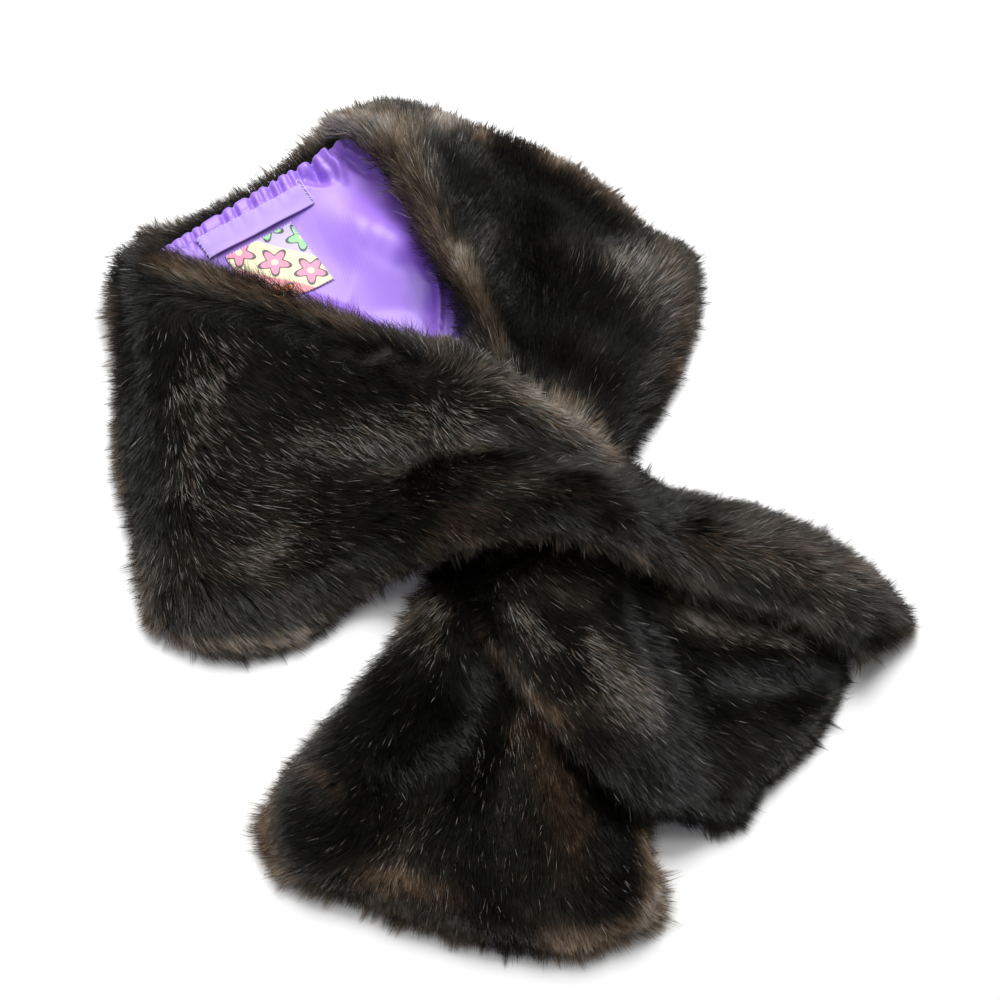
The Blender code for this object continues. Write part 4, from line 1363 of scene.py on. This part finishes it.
def flower_group():
    tree, given, result = new_group(
        "printed_flower", {"Across": 0.0, "Up": 0.0, "Size": 0.40},
        {"Petal": "Float", "Outline": "Float", "Heart": "Float"},
    )
    across, up = given.outputs["Across"], given.outputs["Up"]
    squares = maths(tree, "ADD", maths(tree, "MULTIPLY", across, across), maths(tree, "MULTIPLY", up, up))
    away = maths(tree, "DIVIDE", maths(tree, "SQRT", squares), given.outputs["Size"])
    angle = maths(tree, "MULTIPLY", maths(tree, "ARCTAN2", up, across), PETALS)
    petal_edge = maths(tree, "MULTIPLY_ADD", maths(tree, "COSINE", angle), *PETAL_EDGE)
    share = maths(tree, "DIVIDE", away, petal_edge)
    tree.links.new(below(tree, share, 1.0), result.inputs["Petal"])
    tree.links.new(below(tree, share, OUTLINE_EDGE), result.inputs["Outline"])
    tree.links.new(below(tree, away, HEART_EDGE), result.inputs["Heart"])
    return tree


printed_flower = flower_group()

# %% Make the print
BANDS = 2.1  # across the tag
BAND_TURN = math.radians(48)
BAND_SHIFT = (0.25, -0.15, 0.0)
BAND_COLOURS = [(0.74, 0.24, 0.27), (0.74, 0.66, 0.42), (0.48, 0.40, 0.72), (0.10, 0.38, 0.62)]
FLOWER_COLOURS = [(0.78, 0.20, 0.04), (0.72, 0.22, 0.36), (0.24, 0.62, 0.26), (0.78, 0.60, 0.14)]
HEART_COLOUR = (0.80, 0.70, 0.45)
INK = (0.03, 0.025, 0.03)


def stepped_ramp(tree, colours, position):
    stops = [(index / len(colours), colour) for index, colour in enumerate(colours)]
    colour = shaded(tree, position, stops)
    colour.node.color_ramp.interpolation = "CONSTANT"
    return colour


def print_material():
    material, tree, principled = new_material("printed_tag")
    place = add_node(tree, "UVMap", {"uv_map": "cut"})
    turned = add_node(tree, "Mapping", values={
        "Location": BAND_SHIFT, "Rotation": (0, 0, BAND_TURN), "Scale": (BANDS, BANDS, 1),
    })
    parts = add_node(tree, "SeparateXYZ")
    tree.links.new(place.outputs["UV"], turned.inputs["Vector"])
    tree.links.new(turned.outputs["Vector"], parts.inputs["Vector"])
    band = maths(tree, "FLOOR", parts.outputs["Y"])
    number = maths(tree, "WRAP", maths(tree, "DIVIDE", maths(tree, "ADD", band, 0.5), 4.0), 1.0, 0.0)
    shifted = maths(tree, "MULTIPLY_ADD", band, 0.5, parts.outputs["X"])
    across = maths(tree, "SUBTRACT", maths(tree, "FRACT", shifted), 0.5)
    up = maths(tree, "SUBTRACT", maths(tree, "FRACT", parts.outputs["Y"]), 0.5)
    flower = place_group(tree, printed_flower)
    tree.links.new(across, flower.inputs["Across"])
    tree.links.new(up, flower.inputs["Up"])
    colour = stepped_ramp(tree, BAND_COLOURS, number)
    colour = laid_over(tree, flower.outputs["Outline"], colour, INK)
    colour = laid_over(tree, flower.outputs["Petal"], colour, stepped_ramp(tree, FLOWER_COLOURS, number))
    colour = laid_over(tree, flower.outputs["Heart"], colour, HEART_COLOUR)
    tree.links.new(colour, principled.inputs["Base Color"])
    weave = place_group(tree, fine_weave, {"Threads": 3.0 / MM, "Float": 2.0})
    add_bump(tree, principled, weave.outputs["Height"], 0.2, THREAD_RELIEF)
    set_values(principled, {"Roughness": 0.5})
    return material


printed = print_material()

# %% [markdown]
# ## The label and the tag
# Both are small pieces of ribbon sewn onto the lining. The label is held at its ends, so its
# long lower edge stands off a little and throws a thin shadow. The tag is sewn all round. Each
# is a fine grid that bridges the puckers below it, as a stiffer cloth does.

# %% Lay the label and the tag
Patch = namedtuple("Patch", "centre_x centre_y length depth turn")
LABEL = Patch(-160.5, 244.5, 78, 16.5, 33.5)
TAG = Patch(-145, 212.5, 49, 49, 33.5)
CLEAR = 0.9 * MM  # of the patches' tops over the lining
BRIDGE_STEPS, EASE_STEPS = 60, 6  # how often their relief is softened, to bridge puckers and after


def patch_grid(patch, rows, columns):
    """The plan of a patch, from its left end to its right and from top to bottom."""
    turn = math.radians(patch.turn)
    ahead = np.array([math.cos(turn), math.sin(turn)])
    down = np.array([ahead[1], -ahead[0]])
    centre = np.array([patch.centre_x, patch.centre_y]) * MM + (FOOTPRINT_X, FOOTPRINT_Y)
    along = np.linspace(-0.5, 0.5, rows)[:, None, None] * patch.length * MM
    across = np.linspace(-0.5, 0.5, columns)[None, :, None] * patch.depth * MM
    return centre + ahead * along + down * across


def lay_patch(patch, rows, columns, stand_off):
    plan = patch_grid(patch, rows, columns)
    under = height_on([cloth_tree(lining_grid)], plan.reshape(-1, 2)).reshape(rows, columns)
    level = np.maximum(soften_grid(under, BRIDGE_STEPS), under)
    level = soften_grid(level, EASE_STEPS)
    share_along = np.linspace(0, 1, rows)[:, None]
    share_down = np.linspace(0, 1, columns)[None, :]
    level = level + CLEAR + stand_off(share_along, share_down)
    return np.dstack([plan, level])


def label_stand_off(along, down):
    held = np.clip(np.sin(math.pi * along), 0, 1) ** 0.5
    bows = 0.75 + 0.25 * np.sin(along * 11.0 + 0.6)
    return 2.0 * MM * held * bows * down**1.5


def tag_stand_off(along, down):
    swell = np.sin(math.pi * along) * np.sin(math.pi * down)
    return 0.5 * MM * swell + 0.35 * MM * np.sin(along * 7 + down * 4) * swell


label_grid = lay_patch(LABEL, 72, 16, label_stand_off)
tag_grid = lay_patch(TAG, 46, 46, tag_stand_off)
label = lay_cloth("woven_label_cloth", label_grid, label_satin, "woven_label")
tag = lay_cloth("picture_tag_cloth", tag_grid, printed, "picture_tag")

# %% [markdown]
# ## The stitches
# Pale thread holds both patches down, and it shows as small bright dashes along their edges.
# They are too small for a texture to carry when someone looks closely, so each stitch is a bit
# of real thread: a thin tube that rises out of the cloth, crosses the edge and dives back in.

# %% Sew the patches on
THREAD = 0.24 * MM  # the thread's radius
THREAD_SIDES = 6
THREAD_COLOUR = (0.80, 0.76, 0.90)
LOOSE_LOOP = [  # the thread's end, over the label's right end, in shares of its length and depth
    (0.965, 0.02), (0.985, -0.12), (1.005, -0.18), (1.020, -0.05), (1.012, 0.20), (1.016, 0.60),
    (1.008, 0.98),
]
END_STITCHES, TOP_STITCHES, TAG_STITCHES = 6, 24, 22  # on a side each


def thread_material():
    material, tree, principled = new_material("pale_thread")
    place = add_node(tree, "TexCoord")
    wave = add_node(tree, "TexWave", values={"Scale": 900.0, "Distortion": 1.5})
    tree.links.new(place.outputs["Object"], wave.inputs["Vector"])
    darker = [c * 0.8 for c in THREAD_COLOUR]
    colour = shaded(tree, wave.outputs["Fac"], [(0.0, darker), (1.0, THREAD_COLOUR)])
    tree.links.new(colour, principled.inputs["Base Color"])
    set_values(principled, {"Roughness": 0.45})
    return material


def on_cloth(grid, along, down):
    """The place on a laid patch at these shares of its length and depth; also a bit outside."""
    rows, columns = grid.shape[:2]
    row, column = along * (rows - 1), down * (columns - 1)
    r = int(np.clip(math.floor(row), 0, rows - 2))
    c = int(np.clip(math.floor(column), 0, columns - 2))
    one = grid[r, c] + (grid[r + 1, c] - grid[r, c]) * (row - r)
    two = grid[r, c + 1] + (grid[r + 1, c + 1] - grid[r, c + 1]) * (row - r)
    return one + (two - one) * (column - c)


def thread_tube(path, vertices, faces):
    """Adds a tube along the path, thinner at its two ends."""
    path = np.array(path)
    ahead = unit(np.gradient(path, axis=0))
    side = unit(np.cross(ahead, (0.0, 0.0, 1.0)))
    up = np.cross(side, ahead)
    angle = np.linspace(0, 2 * math.pi, THREAD_SIDES, endpoint=False)
    radius = np.full(len(path), THREAD)
    radius[[0, -1]] *= 0.5
    start = len(vertices)
    for centre, s, u, r in zip(path, side, up, radius):
        vertices += [centre + (s * math.cos(a) + u * math.sin(a)) * r for a in angle]
    for ring in range(len(path) - 1):
        for turn in range(THREAD_SIDES):
            first = start + ring * THREAD_SIDES
            a, b = first + turn, first + (turn + 1) % THREAD_SIDES
            faces.append((a, b, b + THREAD_SIDES, a + THREAD_SIDES))
    end = start + (len(path) - 1) * THREAD_SIDES
    faces.append(tuple(range(start + THREAD_SIDES - 1, start - 1, -1)))
    faces.append(tuple(range(end, end + THREAD_SIDES)))


def stitch(grid, start, end, rise, vertices, faces):
    first, last = on_cloth(grid, *start), on_cloth(grid, *end)
    share = np.linspace(0, 1, 5)[:, None]
    path = first + (last - first) * share
    path[:, 2] += rise * np.sin(math.pi * share[:, 0]) - 0.15 * MM
    thread_tube(path, vertices, faces)


def sew():
    random = np.random.default_rng(40)
    vertices, faces = [], []
    for end in (0.0, 1.0):  # across both ends of the label
        for down in np.linspace(0.08, 0.92, END_STITCHES):
            down += random.uniform(-0.03, 0.03)
            inner, outer = (0.018, -0.010) if end == 0.0 else (0.982, 1.010)
            stitch(label_grid, (inner, down), (outer, down + 0.06), 0.3 * MM, vertices, faces)
    for along in np.linspace(0.02, 0.98, TOP_STITCHES):  # along its top
        along += random.uniform(-0.004, 0.004)
        stitch(label_grid, (along, 0.06), (along + 0.018, 0.05), 0.15 * MM, vertices, faces)
    for share in np.linspace(0.02, 0.98, TAG_STITCHES):  # round the tag
        share += random.uniform(-0.006, 0.006)
        for start, end in (
            ((0.975, share), (1.012, share + 0.025)), ((0.025, share), (-0.012, share + 0.025)),
            ((share, 0.975), (share + 0.025, 1.012)), ((share, 0.025), (share + 0.025, -0.012)),
        ):
            stitch(tag_grid, start, end, 0.25 * MM, vertices, faces)
    path = [on_cloth(label_grid, *place) for place in LOOSE_LOOP]
    thread_tube(np.array(path) + (0, 0, 0.2 * MM), vertices, faces)
    mesh = bpy.data.meshes.new("label_stitches")
    mesh.from_pydata([tuple(v) for v in vertices], [], faces)
    add_piece("label_stitches", mesh, [thread_material()])
    print("stitches", len(faces), "faces")


sew()

# %% [markdown]
# ## What each piece was cut from
# Whoever reuses the wrap needs to know which pieces are cloth, and how large each was before
# it was folded. These are the sizes of the stretches that the folded wrap is made of.

# %% Say what each piece is
for name, pelt in pelts.items():
    area = sum(face.area for face in pelt.data.polygons) / 2
    print(name, "cloth", round(area * 1e4), "cm2")
